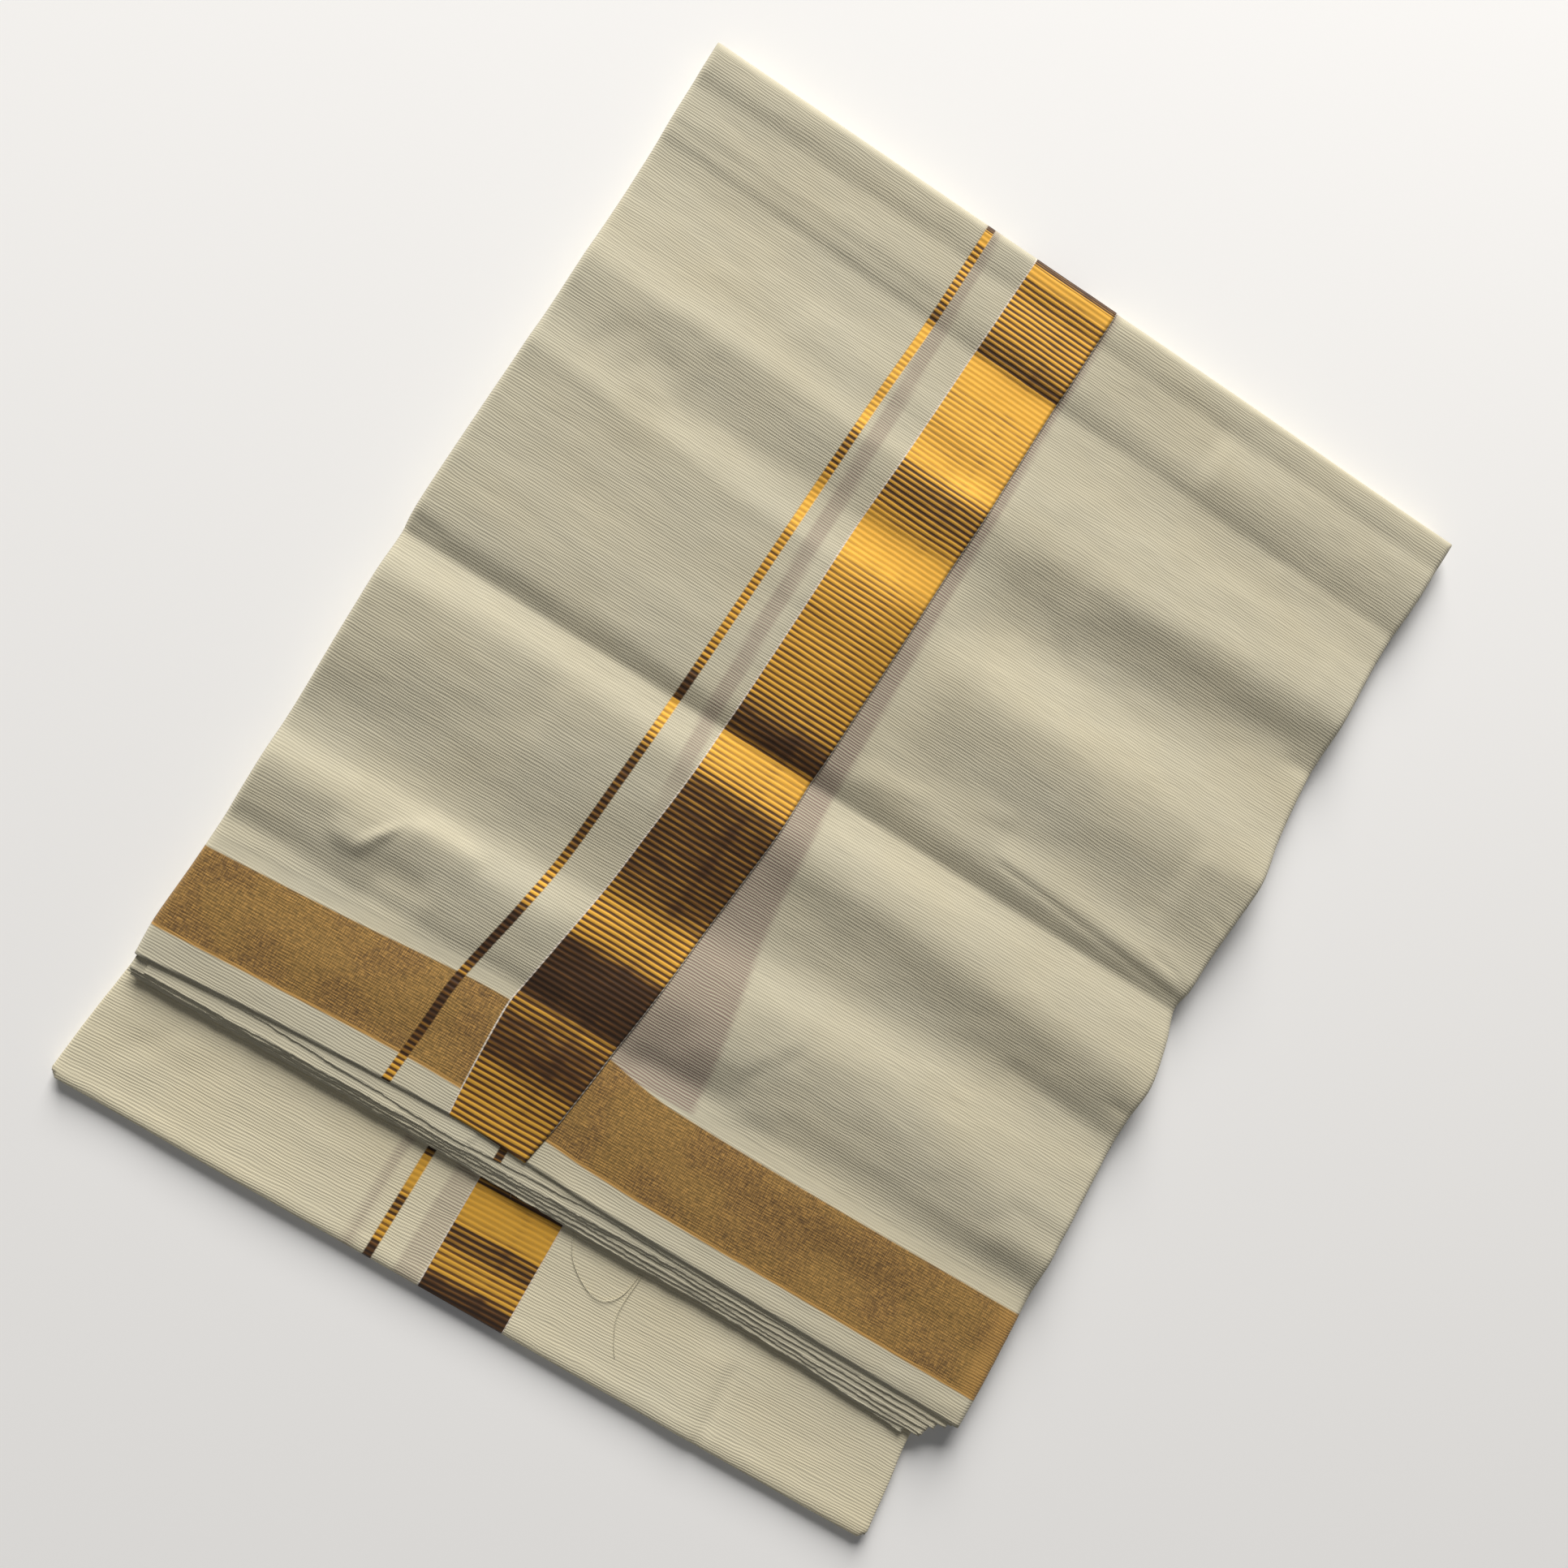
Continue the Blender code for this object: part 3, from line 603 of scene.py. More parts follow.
for number in range(STACK_FOLDS):
    fold_in = wander(around, number + 1, 38.0, 1.1) + wander(around, number + 11, 9.0, 0.25)
    lowest = wander(around, number + 21, 60.0, 0.12)
    for step in FOLD_STEPS:
        round_in = 0.55 * (1 - math.sqrt(max(0.0, 1 - (2 * step - 1) ** 2)))
        move = np.clip(STACK_ROLL_IN - 0.7 - fold_in - round_in, -0.6, 1.5)
        down = (number + step) / STACK_FOLDS
        ring_z = fold_top + (STACK_BOTTOM - fold_top) * down + lowest * math.sin(math.pi * down)
        rings.append(
            (base_x + side_across * move, base_up + np.maximum(side_along, 0) * move, ring_z)
        )
rings.append((base_x, base_up, np.full(base_x.shape, STACK_BOTTOM)))
layered_folds = make_closed(
    "layered_folds", grid, rings, no_pattern, lambda x, up, z: (x + z, up + z)
)
print("layered_folds faces:", len(layered_folds.data.polygons))

# %% [markdown]
# ## The raw ends
#
# At the lower end the layers stop short of each other like the pages of an old book, each a
# little further out than the one above. Here the single sheets do show, so each is its own thin
# leaf with an uneven woven edge. A stair of steps in the closed form would be simpler, but
# it would have no gaps for the light to fall into.
# %% The raw ends of the hidden layers
Leaf = namedtuple("Leaf", "z left right ends")
LEAVES = (
    Leaf(12.8, -208.8, 206.6, ((-208, 7.2), (-170, 7.0), (-130, 5.8), (-100, 4.6), (-58, 2.8),
                               (-35, 3.1), (0, 4.1), (20, 4.2), (50, 3.0), (90, 1.3), (150, 0.3),
                               (206, -1.3))),
    Leaf(12.2, -204.5, 204.8, ((-205, 0.4), (-180, 0.0), (-100, 0.3), (-58, 0.1), (0, -0.2),
                               (50, 0.0), (90, -0.8), (150, -2.1), (205, -3.9))),
    Leaf(11.5, -210.8, 200.4, ((-210, -0.9), (-180, -1.1), (-100, -1.1), (-58, -1.5), (0, -1.5),
                               (50, -1.3), (90, -2.9), (150, -4.7), (200, -6.8))),
    Leaf(10.8, -211.2, 197.8, ((-210, -2.2), (-100, -2.3), (-58, -2.7), (0, -3.3), (50, -4.0),
                               (90, -5.2), (150, -7.6), (200, -9.3))),
    Leaf(10.1, -209.4, 197.2, ((-207, -3.2), (-100, -3.5), (-58, -4.4), (0, -5.2), (50, -6.1),
                               (90, -6.9), (150, -9.9), (199, -12.3))),
    Leaf(9.4, -209.6, 196.6, ((-207, -3.8), (-100, -4.4), (-58, -5.7), (-20, -6.8), (20, -7.6),
                              (60, -8.1), (90, -8.6), (120, -10.0), (150, -11.9), (170, -12.9),
                              (199, -13.3))),
    Leaf(8.6, -207.6, 188.4, ((-205, -4.2), (-100, -5.0), (-20, -7.2), (20, -8.0), (90, -8.7),
                              (140, -12.0), (150, -12.6), (170, -14.1), (190, -15.8))),
    Leaf(7.8, -209.0, 190.0, ((-209, -3.0), (-60, -4.6), (60, -6.4), (190, -12.0))),
    Leaf(7.0, -208.0, 192.0, ((-208, -3.6), (-60, -4.4), (60, -6.6), (190, -12.6))),
    Leaf(6.4, -208.6, 189.0, ((-208, -2.6), (-60, -4.8), (60, -6.2), (190, -11.6))),
)
LEAF_DEPTH = 34.0
LEAF_ROWS = 15
LEAF_STEP = 1.6
LEAF_SIDE_IN = 2.0
LEAF_START = -6.0
LEAF_LOWEST = 0.45
THREAD_END = 0.35


def cloth_out(x, up):
    """How far under the outermost surface the top cloth lies, at either side of the selvedge."""
    selvedge = smooth_line(SELVEDGE, up)
    share = (x - selvedge) / (smooth_line(RIGHT_FOLD, up) - SIDE_ROLL - selvedge)
    return np.where(x < selvedge - LAP, 0.0, plain_out(share))


leaf_pieces = []
for number, leaf in enumerate(LEAVES):
    columns = int((leaf.right - leaf.left) / LEAF_STEP)
    across = np.linspace(0, 1, columns)[None, :]
    back = (np.linspace(1, 0, LEAF_ROWS)[:, None] ** 1.6)[::-1]
    side_up = LEAF_START + back * LEAF_DEPTH
    left_in = smooth_line(LEFT_FOLD, side_up) + LEAF_SIDE_IN
    right_in = smooth_line(RIGHT_FOLD, side_up) - LEAF_SIDE_IN
    towards = smooth_step(back * 1.3)
    left = leaf.left + (left_in - leaf.left) * towards
    right = leaf.right + (right_in - leaf.right) * towards
    x = left + (right - left) * across
    end = smooth_line(leaf.ends, x)
    end = end + wander(x[0] + 0 * x, 31 + number, 16.0, 0.5) * (1 - towards)
    end = end + wander(x[0] + 0 * x, 51 + number, 2.3, THREAD_END) * (1 - towards)
    up_here = end + LEAF_DEPTH * back
    top = STACK_HEIGHT - CLOTH - cloth_out(x, up_here) + surface_swell(x, np.maximum(up_here, 4))
    level = (leaf.z - STACK_BOTTOM) / (STACK_HEIGHT - STACK_BOTTOM)
    z = STACK_BOTTOM + (top - STACK_BOTTOM) * level
    edge = np.exp(-((up_here - end) / 5.0))
    z = z + wander(x[0] + 0 * x, 71 + number, 24.0, 0.22) * edge - 0.22 * edge
    z = np.maximum(z, STACK_BOTTOM + LEAF_LOWEST)
    pattern = no_pattern(x, up_here)
    if number == 0:
        pattern["stripe"] = through(-36.9, -33.0, x)
        pattern["gold_lit"] = 0.12 + 0 * x
    leaf_pieces.append(
        make_grid(f"leaf_{number}", x, up_here, z, pattern, (x, up_here + THREAD_SLANT * x))
    )
    thicken(leaf_pieces[-1], CLOTH)
print(len(leaf_pieces), "leaves")

# %% [markdown]
# ## Loose threads
#
# A raw end has no hem, so single threads work loose. Three of them hang down on the flap. A curve
# with a round section could make them, but a flat ribbon with the leaves' own thickness step is
# as fine as they look, and joins the leaves as one piece.
# %% Loose threads that hang from the raw ends
THREADS = (
    ((-24, -1), (-23, -5), (-21, -9)),
    ((10, -7), (16, -18), (24, -25), (33, -29), (40, -28), (45, -22), (47, -11)),
    ((48, -11), (47, -30), (52, -42), (56, -48)),
)
THREAD_WIDTH = 0.22
THREAD_LIFT = 0.55
for number, points in enumerate(THREADS):
    along = np.linspace(0, len(points) - 1, 12 * len(points))
    path = np.array([smooth_line(list(enumerate(part)), along) for part in zip(*points)])
    ahead = np.gradient(path, axis=1)
    ahead /= np.hypot(*ahead)
    side = np.array([-THREAD_WIDTH / 2, THREAD_WIDTH / 2])[None, :]
    x = path[0][:, None] + ahead[1][:, None] * side
    up_here = path[1][:, None] - ahead[0][:, None] * side
    z = LOWER_HEIGHT + THREAD_LIFT + 0.15 * np.sin(2.0 * along)[:, None] + 0 * x
    leaf_pieces.append(
        make_grid(f"thread_{number}", x, up_here, z, no_pattern(x, up_here), (x, up_here))
    )
    thicken(leaf_pieces[-1], THREAD_WIDTH)

# %% Join the raw ends
for piece in leaf_pieces:
    piece.select_set(True)
bpy.context.view_layer.objects.active = leaf_pieces[0]
bpy.ops.object.join()
raw_ends = bpy.context.object
raw_ends.name = "raw_ends"
raw_ends.select_set(False)
print("raw_ends faces:", len(raw_ends.data.polygons))

# %% [markdown]
# ## The lowest fold
#
# The lowest fold lies under the whole pack and reaches out past the raw ends as a flap, where the
# same border crosses it. It is flat where it rests. Its top needs small steps only on the
# flap, so its rows are close there and wide apart under the pack.
# %% The lowest fold
LOWER_EDGES = (
    (-66, -218.4, 199.9), (-40, -216.5, 197.2), (-18, -214.4, 194.4), (10, -212.2, 196.3),
    (80, -210.6, 201.5), (200, -211.4, 203.0), (340, -209.8, 201.0), (485.4, -210.2, 209.5),
)
LOWER_LEFT = [(row[0], row[1]) for row in LOWER_EDGES]
LOWER_RIGHT = [(row[0], row[2]) for row in LOWER_EDGES]
FLAP_END = (
    (-217, -57.6), (-60, -61.2), (20, -63.2), (83, -64.7), (160, -66.5), (201, -66.9),
)
LOWER_TOP_IN = 1.4
LOWER_END_IN = 2.8
FLAP_FIXED_UP = -16.0
CORNER_IN = 1.6
FLAP_WAVES = ((-186, 22, -0.5), (-110, 30, 0.3), (-10, 40, -0.3), (98, 12, 0.5), (150, 26, -0.4))
# A thin pressed line that runs along the flap: its middle, its slant, its half width and height
PRESS_X = 107
PRESS_SLANT = 0.06
PRESS_HALF = 2.6
PRESS_HEIGHT = 0.5
FLAP_CREASES = (
    Fold("dent at the left of the flap", -206, -42, -190, -27, -174, -10, 8, 7, -0.2),
    Fold("rise beside the dent", -194, -40, -176, -25, -158, -8, 8, 9, 0.15),
    Fold("flap's pressed end", -230, -54, 0, -57.5, 210, -62, 3.2, 4.0, 0.35),
    Fold("long wave on the flap", -150, -34, 0, -37, 200, -41, 9, 9, -0.25),
)

FLAP_ROWS = 36
LOWER_COLUMNS = 168
rows_near = np.linspace(0, 1, FLAP_ROWS)
rows_far = np.r_[np.arange(-14, 16, 2.0), np.arange(22, 470, 14.0), 477.0, 482.6]
across = np.linspace(0, 1, LOWER_COLUMNS)[None, :]
reach = np.r_[rows_near, np.full(len(rows_far), 1.0)][:, None]
row_up = np.r_[np.zeros(FLAP_ROWS), rows_far][:, None]
on_flap = np.r_[np.ones(FLAP_ROWS), np.zeros(len(rows_far))][:, None] > 0
up_here = np.where(on_flap, -60 + 44 * reach, row_up) + 0 * across
for _ in range(3):
    left = smooth_line(LOWER_LEFT, up_here) + LOWER_TOP_IN
    right = smooth_line(LOWER_RIGHT, up_here) - LOWER_TOP_IN
    x = left + (right - left) * across
    end = smooth_line(FLAP_END, x) + LOWER_END_IN
    up_here = np.where(on_flap, end + (FLAP_FIXED_UP - end) * reach, row_up)
clear = smooth_step((-18.0 - up_here) / 12.0)
wave = sum(height * np.exp(-(((x - middle) / half) ** 2)) for middle, half, height in FLAP_WAVES)
fine = height_of(FLAP_CREASES, x, up_here, SMALL_FADE) + 0.35 * shakes(x, up_here)
ridge = np.exp(-(((x - PRESS_X + PRESS_SLANT * (up_here + 40)) / PRESS_HALF) ** 2))
ridge = PRESS_HEIGHT * ridge * smooth_step((-20 - up_here) / 12)
z = LOWER_HEIGHT + clear * (wave - ridge) + fine * smooth_step((-8.0 - up_here) / 8.0)
z = np.minimum(z, np.where(up_here > -16, LOWER_HEIGHT, 99))

LOWER_FOLDS = ((0.0, 0.36), (0.36, 0.68), (0.68, 1.0))
base_x, base_up, base_z = rim_of(x), rim_of(up_here), rim_of(z)
side_across, side_along = rim_sides(x.shape)
around = base_up * (np.abs(side_across) > 0) + base_x * (side_across == 0)
rings = []
for number, (start, finish) in enumerate(LOWER_FOLDS):
    fold_in = 0.35 + wander(around, number + 91, 45.0, 0.6)
    fold_in = fold_in + wander(around, number + 95, 10.0, 0.15)
    for step in (0.12, 0.3, 0.5, 0.7, 0.9, 1.0):
        down = start + (finish - start) * step
        round_in = 0.8 * (1 - math.sqrt(max(0.0, 1 - (2 * step - 1) ** 2)))
        side_out = LOWER_TOP_IN - np.clip(fold_in, 0, 0.8) - round_in
        end_out = LOWER_END_IN * math.sqrt(max(0.0, 1 - (2 * down - 1) ** 2))
        end_out = np.minimum(end_out + 0.5, LOWER_END_IN) * (down < 1)
        cut = CORNER_IN * (side_across != 0) * (side_along != 0)
        rings.append(
            (
                base_x + side_across * (side_out - cut),
                base_up + side_along * (end_out - cut),
                base_z * (1 - down),
            )
        )

FLAP_BORDER = (-37.0, 6.4)
FLAP_STRIPE = (-64.0, -59.8)
FLAP_GHOSTS = ((-75.0, -70.2), (-49.2, -37.4))
FLAP_GHOST_SHARE = 0.6
GHOST_EDGE = 1.6
FLAP_LIT = (
    (-80, 0.05), (-55, 0.08), (-52.5, 0.38), (-49, 0.66), (-42, 0.56), (-39, 0.27), (-31, 0.28),
    (-27.5, 0.86), (-12, 0.86), (-9.5, 0.40), (-8, 0.10), (490, 0.1),
)


def flap_pattern(x, up):
    pattern = no_pattern(x, up)
    pattern["border"] = through(*FLAP_BORDER, x - 0.02 * (-30 - up))
    pattern["stripe"] = through(*FLAP_STRIPE, x + 0.006 * (-30 - up))
    pattern["gold_lit"] = smooth_line(FLAP_LIT, up)
    for ghost_left, ghost_right in FLAP_GHOSTS:
        from_left = smooth_step((x - ghost_left) / GHOST_EDGE + 0.5)
        from_right = smooth_step((ghost_right - x) / GHOST_EDGE + 0.5)
        seen = FLAP_GHOST_SHARE * (from_left * from_right)
        pattern["shows_through"] = np.maximum(pattern["shows_through"], seen)
    return pattern


lower_fold = make_closed(
    "lower_fold", (x, up_here, z), rings, flap_pattern,
    lambda x, up, z: (x + 0.5 * z, up + 0.5 * z - THREAD_SLANT * x),
)
print("lower_fold faces:", len(lower_fold.data.polygons))

# %% [markdown]
# ## Small tools for the finishes
#
# A material is a graph of small steps. These helpers add one step each and hand back its output,
# so that a finish reads like a recipe. The same graph could be laid out by hand in the editor.
# %% Small tools for the finishes
def step(tree, kind, settings=(), **inputs):
    """Add a node, set its options and its inputs, by number or name, and return the node."""
    node = tree.nodes.new(kind)
    for key, value in dict(settings).items():
        setattr(node, key, value)
    for key, value in inputs.items():
        by_number = key[0] == "n" and key[1:].isdigit()
        socket = node.inputs[int(key[1:]) if by_number else key]
        if isinstance(value, bpy.types.NodeSocket):
            tree.links.new(value, socket)
        else:
            socket.default_value = value
    return node


def sum_of(tree, operation, first, second=0.0, third=0.0):
    settings = {"operation": operation}
    return step(tree, "ShaderNodeMath", settings, n0=first, n1=second, n2=third).outputs[0]


def between(tree, value, low, high):
    """0 at low, 1 at high, smooth between them."""
    node = step(tree, "ShaderNodeMapRange", {"interpolation_type": "SMOOTHSTEP"}, Value=value)
    node.inputs["From Min"].default_value = low
    node.inputs["From Max"].default_value = high
    return node.outputs["Result"]


def inside(tree, value, low, high, soft):
    """1 between low and high, with soft edges."""
    rise = between(tree, value, low - soft, low + soft)
    fall = between(tree, value, high + soft, high - soft)
    return sum_of(tree, "MULTIPLY", rise, fall)


def blend_colour(tree, factor, first, second, how="MIX"):
    node = step(tree, "ShaderNodeMix", {"data_type": "RGBA", "blend_type": how})
    for number, value in ((0, factor), (6, first), (7, second)):
        socket = node.inputs[number]
        if isinstance(value, bpy.types.NodeSocket):
            tree.links.new(value, socket)
        else:
            socket.default_value = value
    return node.outputs[2]


def cloth_noise(tree, cloth, across, along, detail=2.0):
    """Noise on the cloth's own coordinates, with spots this many metres across and along."""
    scaled = step(tree, "ShaderNodeMapping", {"vector_type": "POINT"}, Vector=cloth)
    scaled.inputs["Scale"].default_value = (1 / across, 1 / along, 1)
    found = step(tree, "ShaderNodeTexNoise", {"noise_dimensions": "2D"}, Vector=scaled.outputs[0])
    found.inputs["Scale"].default_value = 1.0
    found.inputs["Detail"].default_value = detail
    return found.outputs[0]


def lines(tree, place, pitch, shake):
    """Even lines 0 to 1, one for each pitch in metres, moved a little by a shake."""
    turns = sum_of(tree, "MULTIPLY_ADD", place, 2 * math.pi / pitch, shake)
    return sum_of(tree, "MULTIPLY_ADD", sum_of(tree, "SINE", turns), 0.5, 0.5)


def colour(red, green, blue):
    """A colour given as it is seen on a screen, 0 to 255, turned into the light it reflects."""
    return tuple(
        part / 255 / 12.92 if part <= 10 else ((part / 255 + 0.055) / 1.055) ** 2.4
        for part in (red, green, blue)
    ) + (1.0,)


print("white reflects", colour(255, 255, 255)[:3])

# %% [markdown]
# ## Cotton with a gold border
#
# The ground is plain weave cotton: thick weft threads 1.3 mm apart cross finer warp threads, so
# soft ribs run across the pack. The border's metal thread lies on ribs of its own, twice as far
# apart, and each rib is bright where it faces the light and brown behind; that gold and brown are
# painted highlight and painted shade in its colour. One recipe makes every piece, because it is
# all one cloth, and each piece only shifts its tint and the shade or light painted into it.
# %% Cotton with a gold border
WEFT_PITCH = 0.00127
WARP_PITCH = 0.00085
RIB_PITCH = 0.0027
BORDER_WIDTH = 0.046
CREAM = colour(190, 185, 165)
CREAM_WARM = colour(195, 186, 159)
GHOST = colour(144, 124, 113)
# GOLD and GOLD_PALE are the gold thread as a painted highlight; BROWN and BROWN_DARK are the brown
# thread and painted shade on the ribs
GOLD = colour(231, 171, 53)
GOLD_PALE = colour(224, 174, 74)
BROWN = colour(115, 76, 33)
BROWN_DARK = colour(42, 25, 13)
TISSUE = colour(130, 103, 57)
TISSUE_BRIGHT = colour(184, 142, 78)
TISSUE_DARK = colour(110, 84, 51)
THREAD_WHITE = colour(214, 204, 190)


def dhoti_cotton(name, warm, painted_shade):
    """The cloth's finish: how warm its ground is, and how much darker it is painted as shade
    (lighter, as painted light, below 0).
    """
    material = bpy.data.materials.new(name)
    material.use_nodes = True
    tree = material.node_tree
    shader = tree.nodes["Principled BSDF"]
    cloth = step(tree, "ShaderNodeUVMap", {"uv_map": "cloth"}).outputs[0]
    parts = step(tree, "ShaderNodeSeparateXYZ", Vector=cloth)
    across, along = parts.outputs[0], parts.outputs[1]

    def number(attribute):
        return step(tree, "ShaderNodeAttribute", {"attribute_name": attribute}).outputs["Fac"]

    border, stripe, cross = number("border"), number("stripe"), number("cross_band")
    lit, ghost = number("gold_lit"), number("shows_through")

    # Threads
    slub = cloth_noise(tree, cloth, 0.018, 0.0012, 3.0)
    slow = cloth_noise(tree, cloth, 0.06, 0.04, 3.0)
    shake = sum_of(tree, "MULTIPLY", cloth_noise(tree, cloth, 0.02, 0.009, 2.0), 9.0)
    weft = lines(tree, along, WEFT_PITCH, shake)
    warp = lines(tree, across, WARP_PITCH, sum_of(tree, "MULTIPLY", slub, 2.0))
    weave = sum_of(tree, "MULTIPLY_ADD", warp, 0.35, sum_of(tree, "MULTIPLY", weft, 0.65))
    uneven = sum_of(tree, "MULTIPLY_ADD", slub, 0.5, sum_of(tree, "MULTIPLY", weave, 0.5))

    # The cream ground
    warmth = sum_of(tree, "MULTIPLY_ADD", slow, 0.8, warm - 0.4)
    ground = blend_colour(tree, warmth, CREAM, CREAM_WARM)
    clear_ribs = between(tree, cloth_noise(tree, cloth, 0.05, 0.03, 2.0), 0.3, 0.7)
    contrast = sum_of(tree, "MULTIPLY_ADD", clear_ribs, 0.26, 0.26)
    off_middle = sum_of(tree, "SUBTRACT", uneven, 0.5)
    # the weave's unevenness, darkened by painted shade or lightened by painted light
    darker = sum_of(tree, "MULTIPLY_ADD", off_middle, contrast, 1.0 - painted_shade)
    grey = step(tree, "ShaderNodeCombineColor", n0=darker, n1=darker, n2=darker).outputs[0]
    ground = blend_colour(tree, 1.0, ground, grey, "MULTIPLY")
    hatch = sum_of(tree, "MULTIPLY_ADD", between(tree, weft, 0.15, 0.85), 0.88, 0.12)
    seen = sum_of(tree, "MULTIPLY", ghost, hatch)
    ground = blend_colour(tree, seen, ground, GHOST)

    # The cross band of gold tissue
    in_cross = inside(tree, cross, 0.0, 1.0, 0.012)
    tint = between(tree, cloth_noise(tree, cloth, 0.035, 0.03, 2.0), 0.35, 0.65)
    tissue = blend_colour(tree, tint, TISSUE, TISSUE_DARK)
    weft_dashes = cloth_noise(tree, cloth, 0.0038, 0.0005, 2.0)
    warp_dashes = cloth_noise(tree, cloth, 0.0005, 0.0038, 2.0)
    dashes = sum_of(tree, "MULTIPLY", sum_of(tree, "ADD", weft_dashes, warp_dashes), 0.5)
    tissue = blend_colour(tree, between(tree, dashes, 0.34, 0.74), tissue, TISSUE_BRIGHT)
    near_edge = between(tree, cross, 0.955, 0.975)
    # painted highlight: the tissue is painted brighter where it turns over the right fold; the
    # bright line at its lower edge is woven
    fold_highlight = sum_of(tree, "MULTIPLY", between(tree, across, 0.196, 0.204), 0.6)
    edge_line_and_fold_highlight = sum_of(tree, "MAXIMUM", near_edge, fold_highlight)
    tissue = blend_colour(tree, edge_line_and_fold_highlight, tissue, TISSUE_BRIGHT)

    # Ribs of gold thread: painted highlight in gold, painted shade in brown
    rib_shake = sum_of(tree, "MULTIPLY", cloth_noise(tree, cloth, 0.03, 0.012, 2.0), 1.8)
    ribs = lines(tree, along, RIB_PITCH, rib_shake)
    broken = cloth_noise(tree, cloth, 0.016, 0.0022, 2.0)
    # painted reflection: less of the gold is painted as catching the light in a strip along the
    # border's middle
    less_lit_middle = sum_of(tree, "MULTIPLY", inside(tree, border, 0.60, 0.68, 0.05), -0.06)
    bright = sum_of(tree, "MULTIPLY_ADD", broken, 0.34, sum_of(tree, "ADD", lit, -0.17))
    bright = sum_of(tree, "ADD", bright, less_lit_middle)
    bright = step(tree, "ShaderNodeClamp", Value=bright).outputs[0]
    valley = sum_of(tree, "MULTIPLY", sum_of(tree, "MULTIPLY", bright, bright), 0.8)
    crest = sum_of(tree, "MINIMUM", sum_of(tree, "MULTIPLY_ADD", bright, 1.5, 0.12), 1.0)
    rise = sum_of(tree, "SUBTRACT", crest, valley)
    lit_rib_share = sum_of(tree, "MULTIPLY_ADD", between(tree, ribs, 0.1, 0.8), rise, valley)
    fleck = cloth_noise(tree, cloth, 0.0012, 0.0009, 2.0)
    gold = blend_colour(tree, fleck, GOLD_PALE, GOLD)
    thread = blend_colour(tree, between(tree, lit_rib_share, -0.1, 0.5), BROWN_DARK, BROWN)
    thread = blend_colour(tree, between(tree, lit_rib_share, 0.2, 0.9), thread, gold)

    # Where the border and the stripe lie
    in_border = inside(tree, border, 0.0, 1.0, 0.006)
    in_stripe = inside(tree, stripe, 0.0, 1.0, 0.10)
    banded = sum_of(tree, "MAXIMUM", in_border, in_stripe)
    edge_width = 0.00032 / BORDER_WIDTH
    left_edge = inside(tree, border, -edge_width, edge_width, 0.004)
    right_edge = inside(tree, border, 1.0 - 1.4 * edge_width, 1.0, 0.004)
    edges = sum_of(tree, "MAXIMUM", left_edge, right_edge)

    surface = blend_colour(tree, in_cross, ground, tissue)
    surface = blend_colour(tree, banded, surface, thread)
    surface = blend_colour(tree, edges, surface, THREAD_WHITE)
    tree.links.new(surface, shader.inputs["Base Color"])

    # Sheen and gloss
    metal = sum_of(tree, "MULTIPLY", banded, sum_of(tree, "MULTIPLY", lit_rib_share, 0.32))
    metal = sum_of(tree, "MULTIPLY_ADD", in_cross, 0.12, metal)
    tree.links.new(metal, shader.inputs["Metallic"])
    gloss = sum_of(tree, "MULTIPLY_ADD", banded, -0.26, 0.86)
    gloss = sum_of(tree, "MULTIPLY_ADD", in_cross, -0.12, gloss)
    tree.links.new(gloss, shader.inputs["Roughness"])
    shader.inputs["Sheen Weight"].default_value = 0.12
    shader.inputs["Sheen Roughness"].default_value = 0.5
    shader.inputs["Specular IOR Level"].default_value = 0.3

    # Relief of the threads
    smooth_strip = inside(tree, cross, -0.16, -0.02, 0.02)
    weave_share = sum_of(tree, "MULTIPLY_ADD", smooth_strip, -0.6, 1.0)
    weave_height = sum_of(tree, "MULTIPLY", uneven, weave_share)
    rib_height = sum_of(tree, "MULTIPLY", ribs, sum_of(tree, "MULTIPLY_ADD", bright, -0.6, 1.0))
    rib_height = sum_of(tree, "SUBTRACT", rib_height, weave_height)
    height = sum_of(tree, "MULTIPLY_ADD", banded, rib_height, weave_height)
    bump = step(tree, "ShaderNodeBump", Height=height)
    bump.inputs["Strength"].default_value = 0.9
    bump.inputs["Distance"].default_value = 0.00028
    tree.links.new(bump.outputs[0], shader.inputs["Normal"])
    return material


bordered_finish = dhoti_cotton("bordered cotton", 0.45, 0.0)
plain_finish = dhoti_cotton("plain cotton", 0.55, 0.0)
# painted light: the leaves and layered sides are painted lighter, against the shade that falls on
# them
layered_painted_light_finish = dhoti_cotton("layered cotton with painted light", 0.45, -0.14)
# painted light: the flap's ground is painted lighter than the upper layers'
lower_painted_light_finish = dhoti_cotton("lower cotton with painted light", 0.75, -0.24)
for piece, finish in (
    (bordered_cloth, bordered_finish),
    (plain_cloth, plain_finish),
    (layered_folds, layered_painted_light_finish),
    (raw_ends, layered_painted_light_finish),
    (lower_fold, lower_painted_light_finish),
):
    piece.data.materials.clear()
    piece.data.materials.append(finish)
print("finishes:", [finish.name for finish in bpy.data.materials if finish.users])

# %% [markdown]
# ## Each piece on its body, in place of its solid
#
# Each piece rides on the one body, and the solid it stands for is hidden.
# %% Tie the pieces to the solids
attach(bordered_cloth, "root")
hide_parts("bordered_stretch")

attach(plain_cloth, "root")
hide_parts("plain_stretch")

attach(layered_folds, "root")
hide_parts("hidden_layers")

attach(raw_ends, "root")
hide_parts("hidden_layers")

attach(lower_fold, "root")
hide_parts("under_fold")

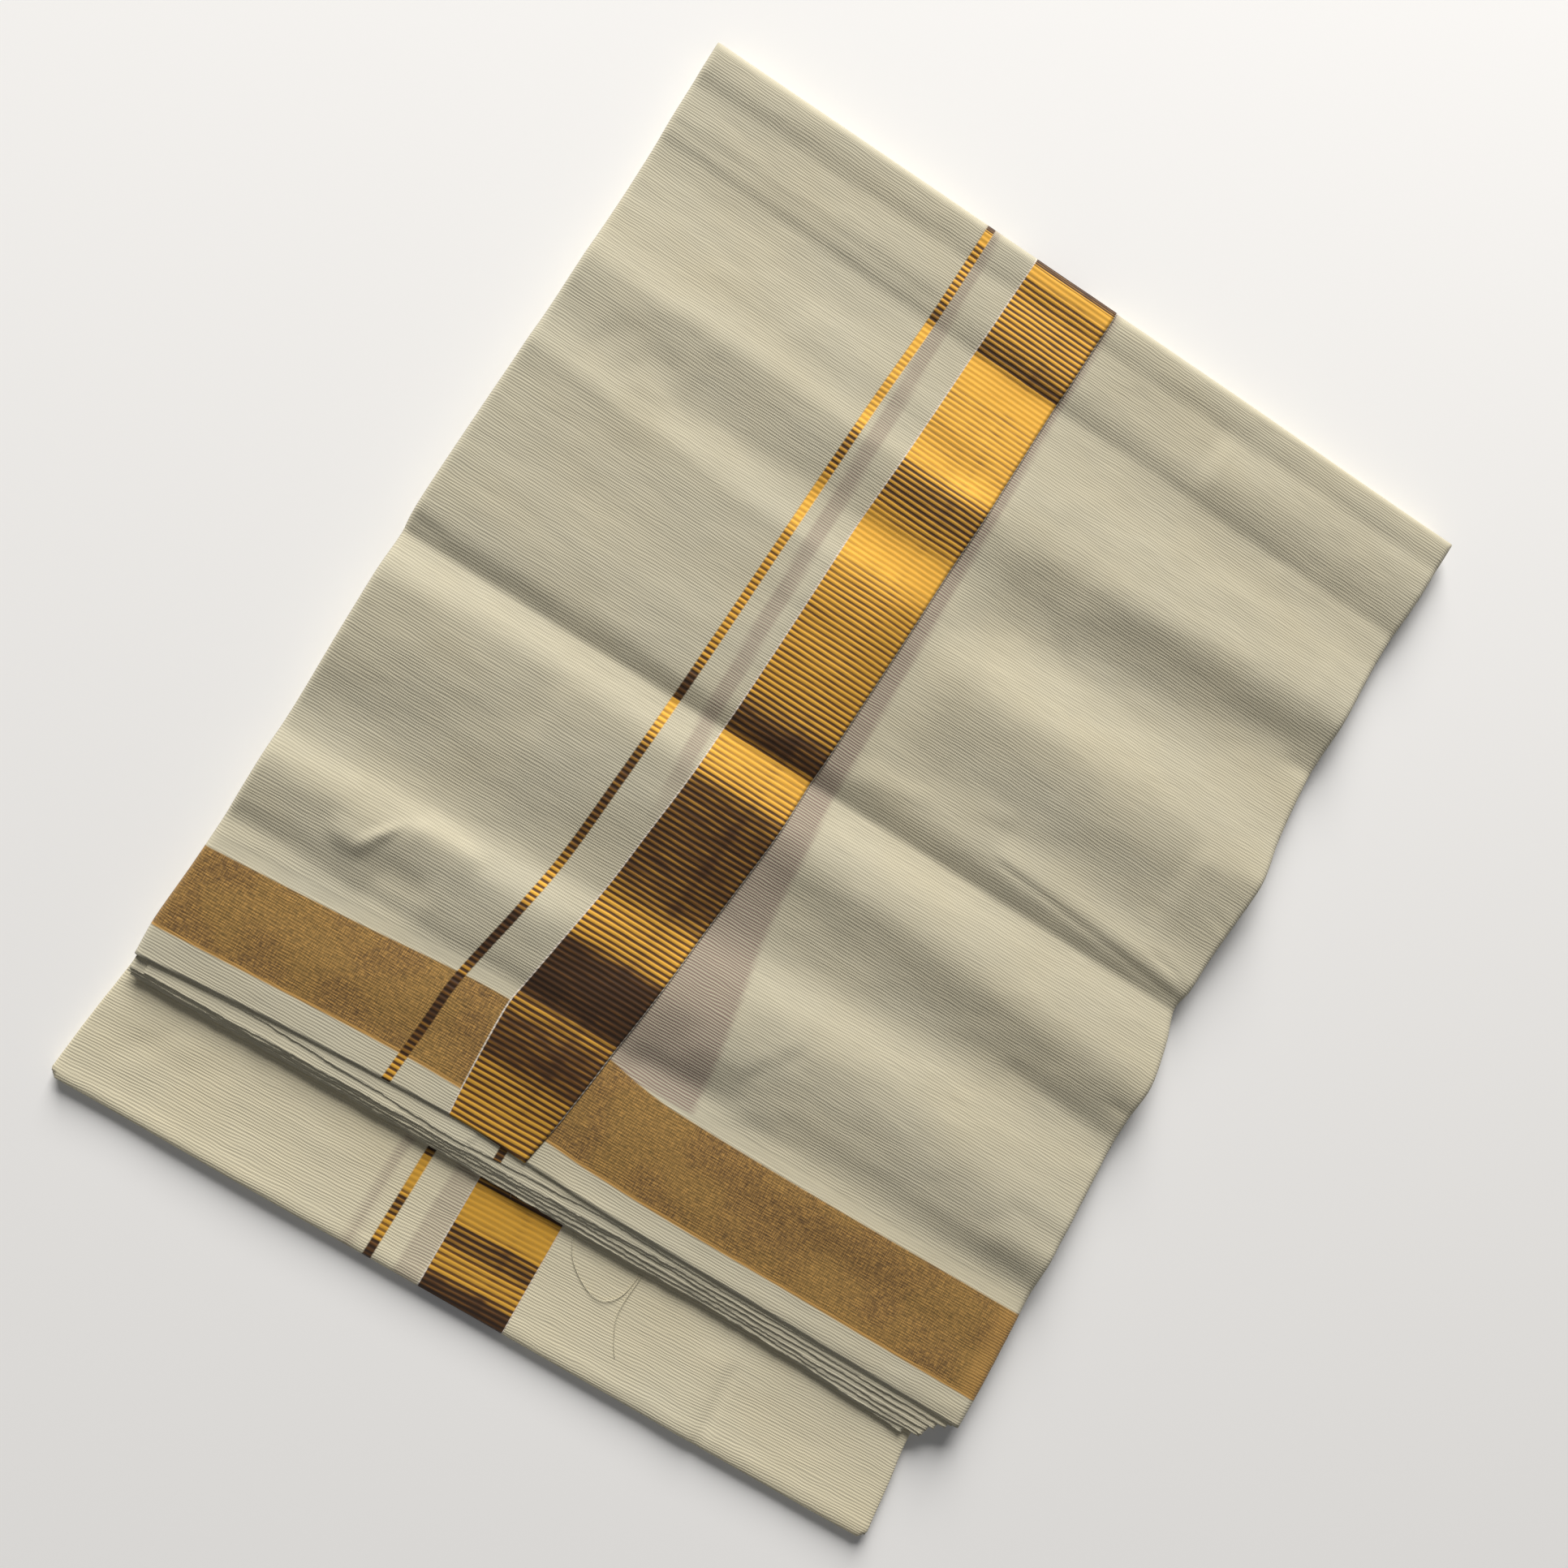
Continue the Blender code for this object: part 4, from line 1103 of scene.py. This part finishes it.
# %% [markdown]
# ## Floor, light and camera
#
# A pale floor and two soft lights: a large one, low on the top fold's side, shows the creases as
# a window does, and a weak one on the near side keeps the shadows open. The camera stands almost
# straight above, a little to the left. Its place comes from the pack's four corners and its edges.
# %% Floor, light and camera
bpy.ops.mesh.primitive_plane_add(size=6.0, location=(0, 0, -0.0003))
floor = bpy.context.object
floor.name = "floor"
floor.select_set(False)
floor_finish = bpy.data.materials.new("pale floor")
floor_finish.use_nodes = True
floor_shader = floor_finish.node_tree.nodes["Principled BSDF"]
floor_shader.inputs["Base Color"].default_value = (0.9, 0.9, 0.9, 1)
floor_shader.inputs["Roughness"].default_value = 0.9
floor.data.materials.append(floor_finish)


def add_light(name, direction, distance, width, strength, tint):
    """A square soft light, this many metres away and wide, that gives the pack this much light."""
    bpy.ops.object.light_add(type="AREA", location=Vector(direction).normalized() * distance)
    light = bpy.context.object
    light.name = name
    light.data.shape = "SQUARE"
    light.data.size = width
    light.data.energy = strength * math.pi * distance**2
    light.data.color = tint
    light.rotation_euler = Vector(direction).to_track_quat("Z", "Y").to_euler()
    light.select_set(False)
    return light


add_light("window", (-0.42, 1.0, 0.55), 5.0, 2.8, 5.8, (1.0, 0.975, 0.94))
add_light("room", (0.1, -1.0, 0.8), 4.0, 4.0, 0.32, (0.97, 0.98, 1.0))
world = bpy.context.scene.world or bpy.data.worlds.new("soft room")
bpy.context.scene.world = world
world.use_nodes = True
world.node_tree.nodes["Background"].inputs["Color"].default_value = (1.0, 0.99, 0.97, 1.0)
world.node_tree.nodes["Background"].inputs["Strength"].default_value = 0.08

# The camera's sides in the object's frame, and its place in metres
CAMERA_RIGHT = Vector((0.84808746, 0.5109207, 0.14038413))
CAMERA_DOWN = Vector((0.5179594, -0.8552467, -0.01646649))
CAMERA_AHEAD = Vector((0.11165, 0.0866783, -0.98996018))
CAMERA_PLACE = Vector((-0.07602, -0.050923, 0.6057))
LENS = 30.381
bpy.ops.object.camera_add()
camera = bpy.context.object
camera.name = "camera"
turned = Matrix((CAMERA_RIGHT, -CAMERA_DOWN, -CAMERA_AHEAD)).transposed()
camera.matrix_world = Matrix.Translation(CAMERA_PLACE) @ turned.to_4x4()
camera.data.type = "PERSP"
camera.data.sensor_width = 36.0
camera.data.lens = LENS
camera.data.clip_start = 0.01
camera.select_set(False)
bpy.context.scene.camera = camera
bpy.context.scene.view_settings.view_transform = "Standard"
print("camera", [round(part, 3) for part in CAMERA_PLACE])
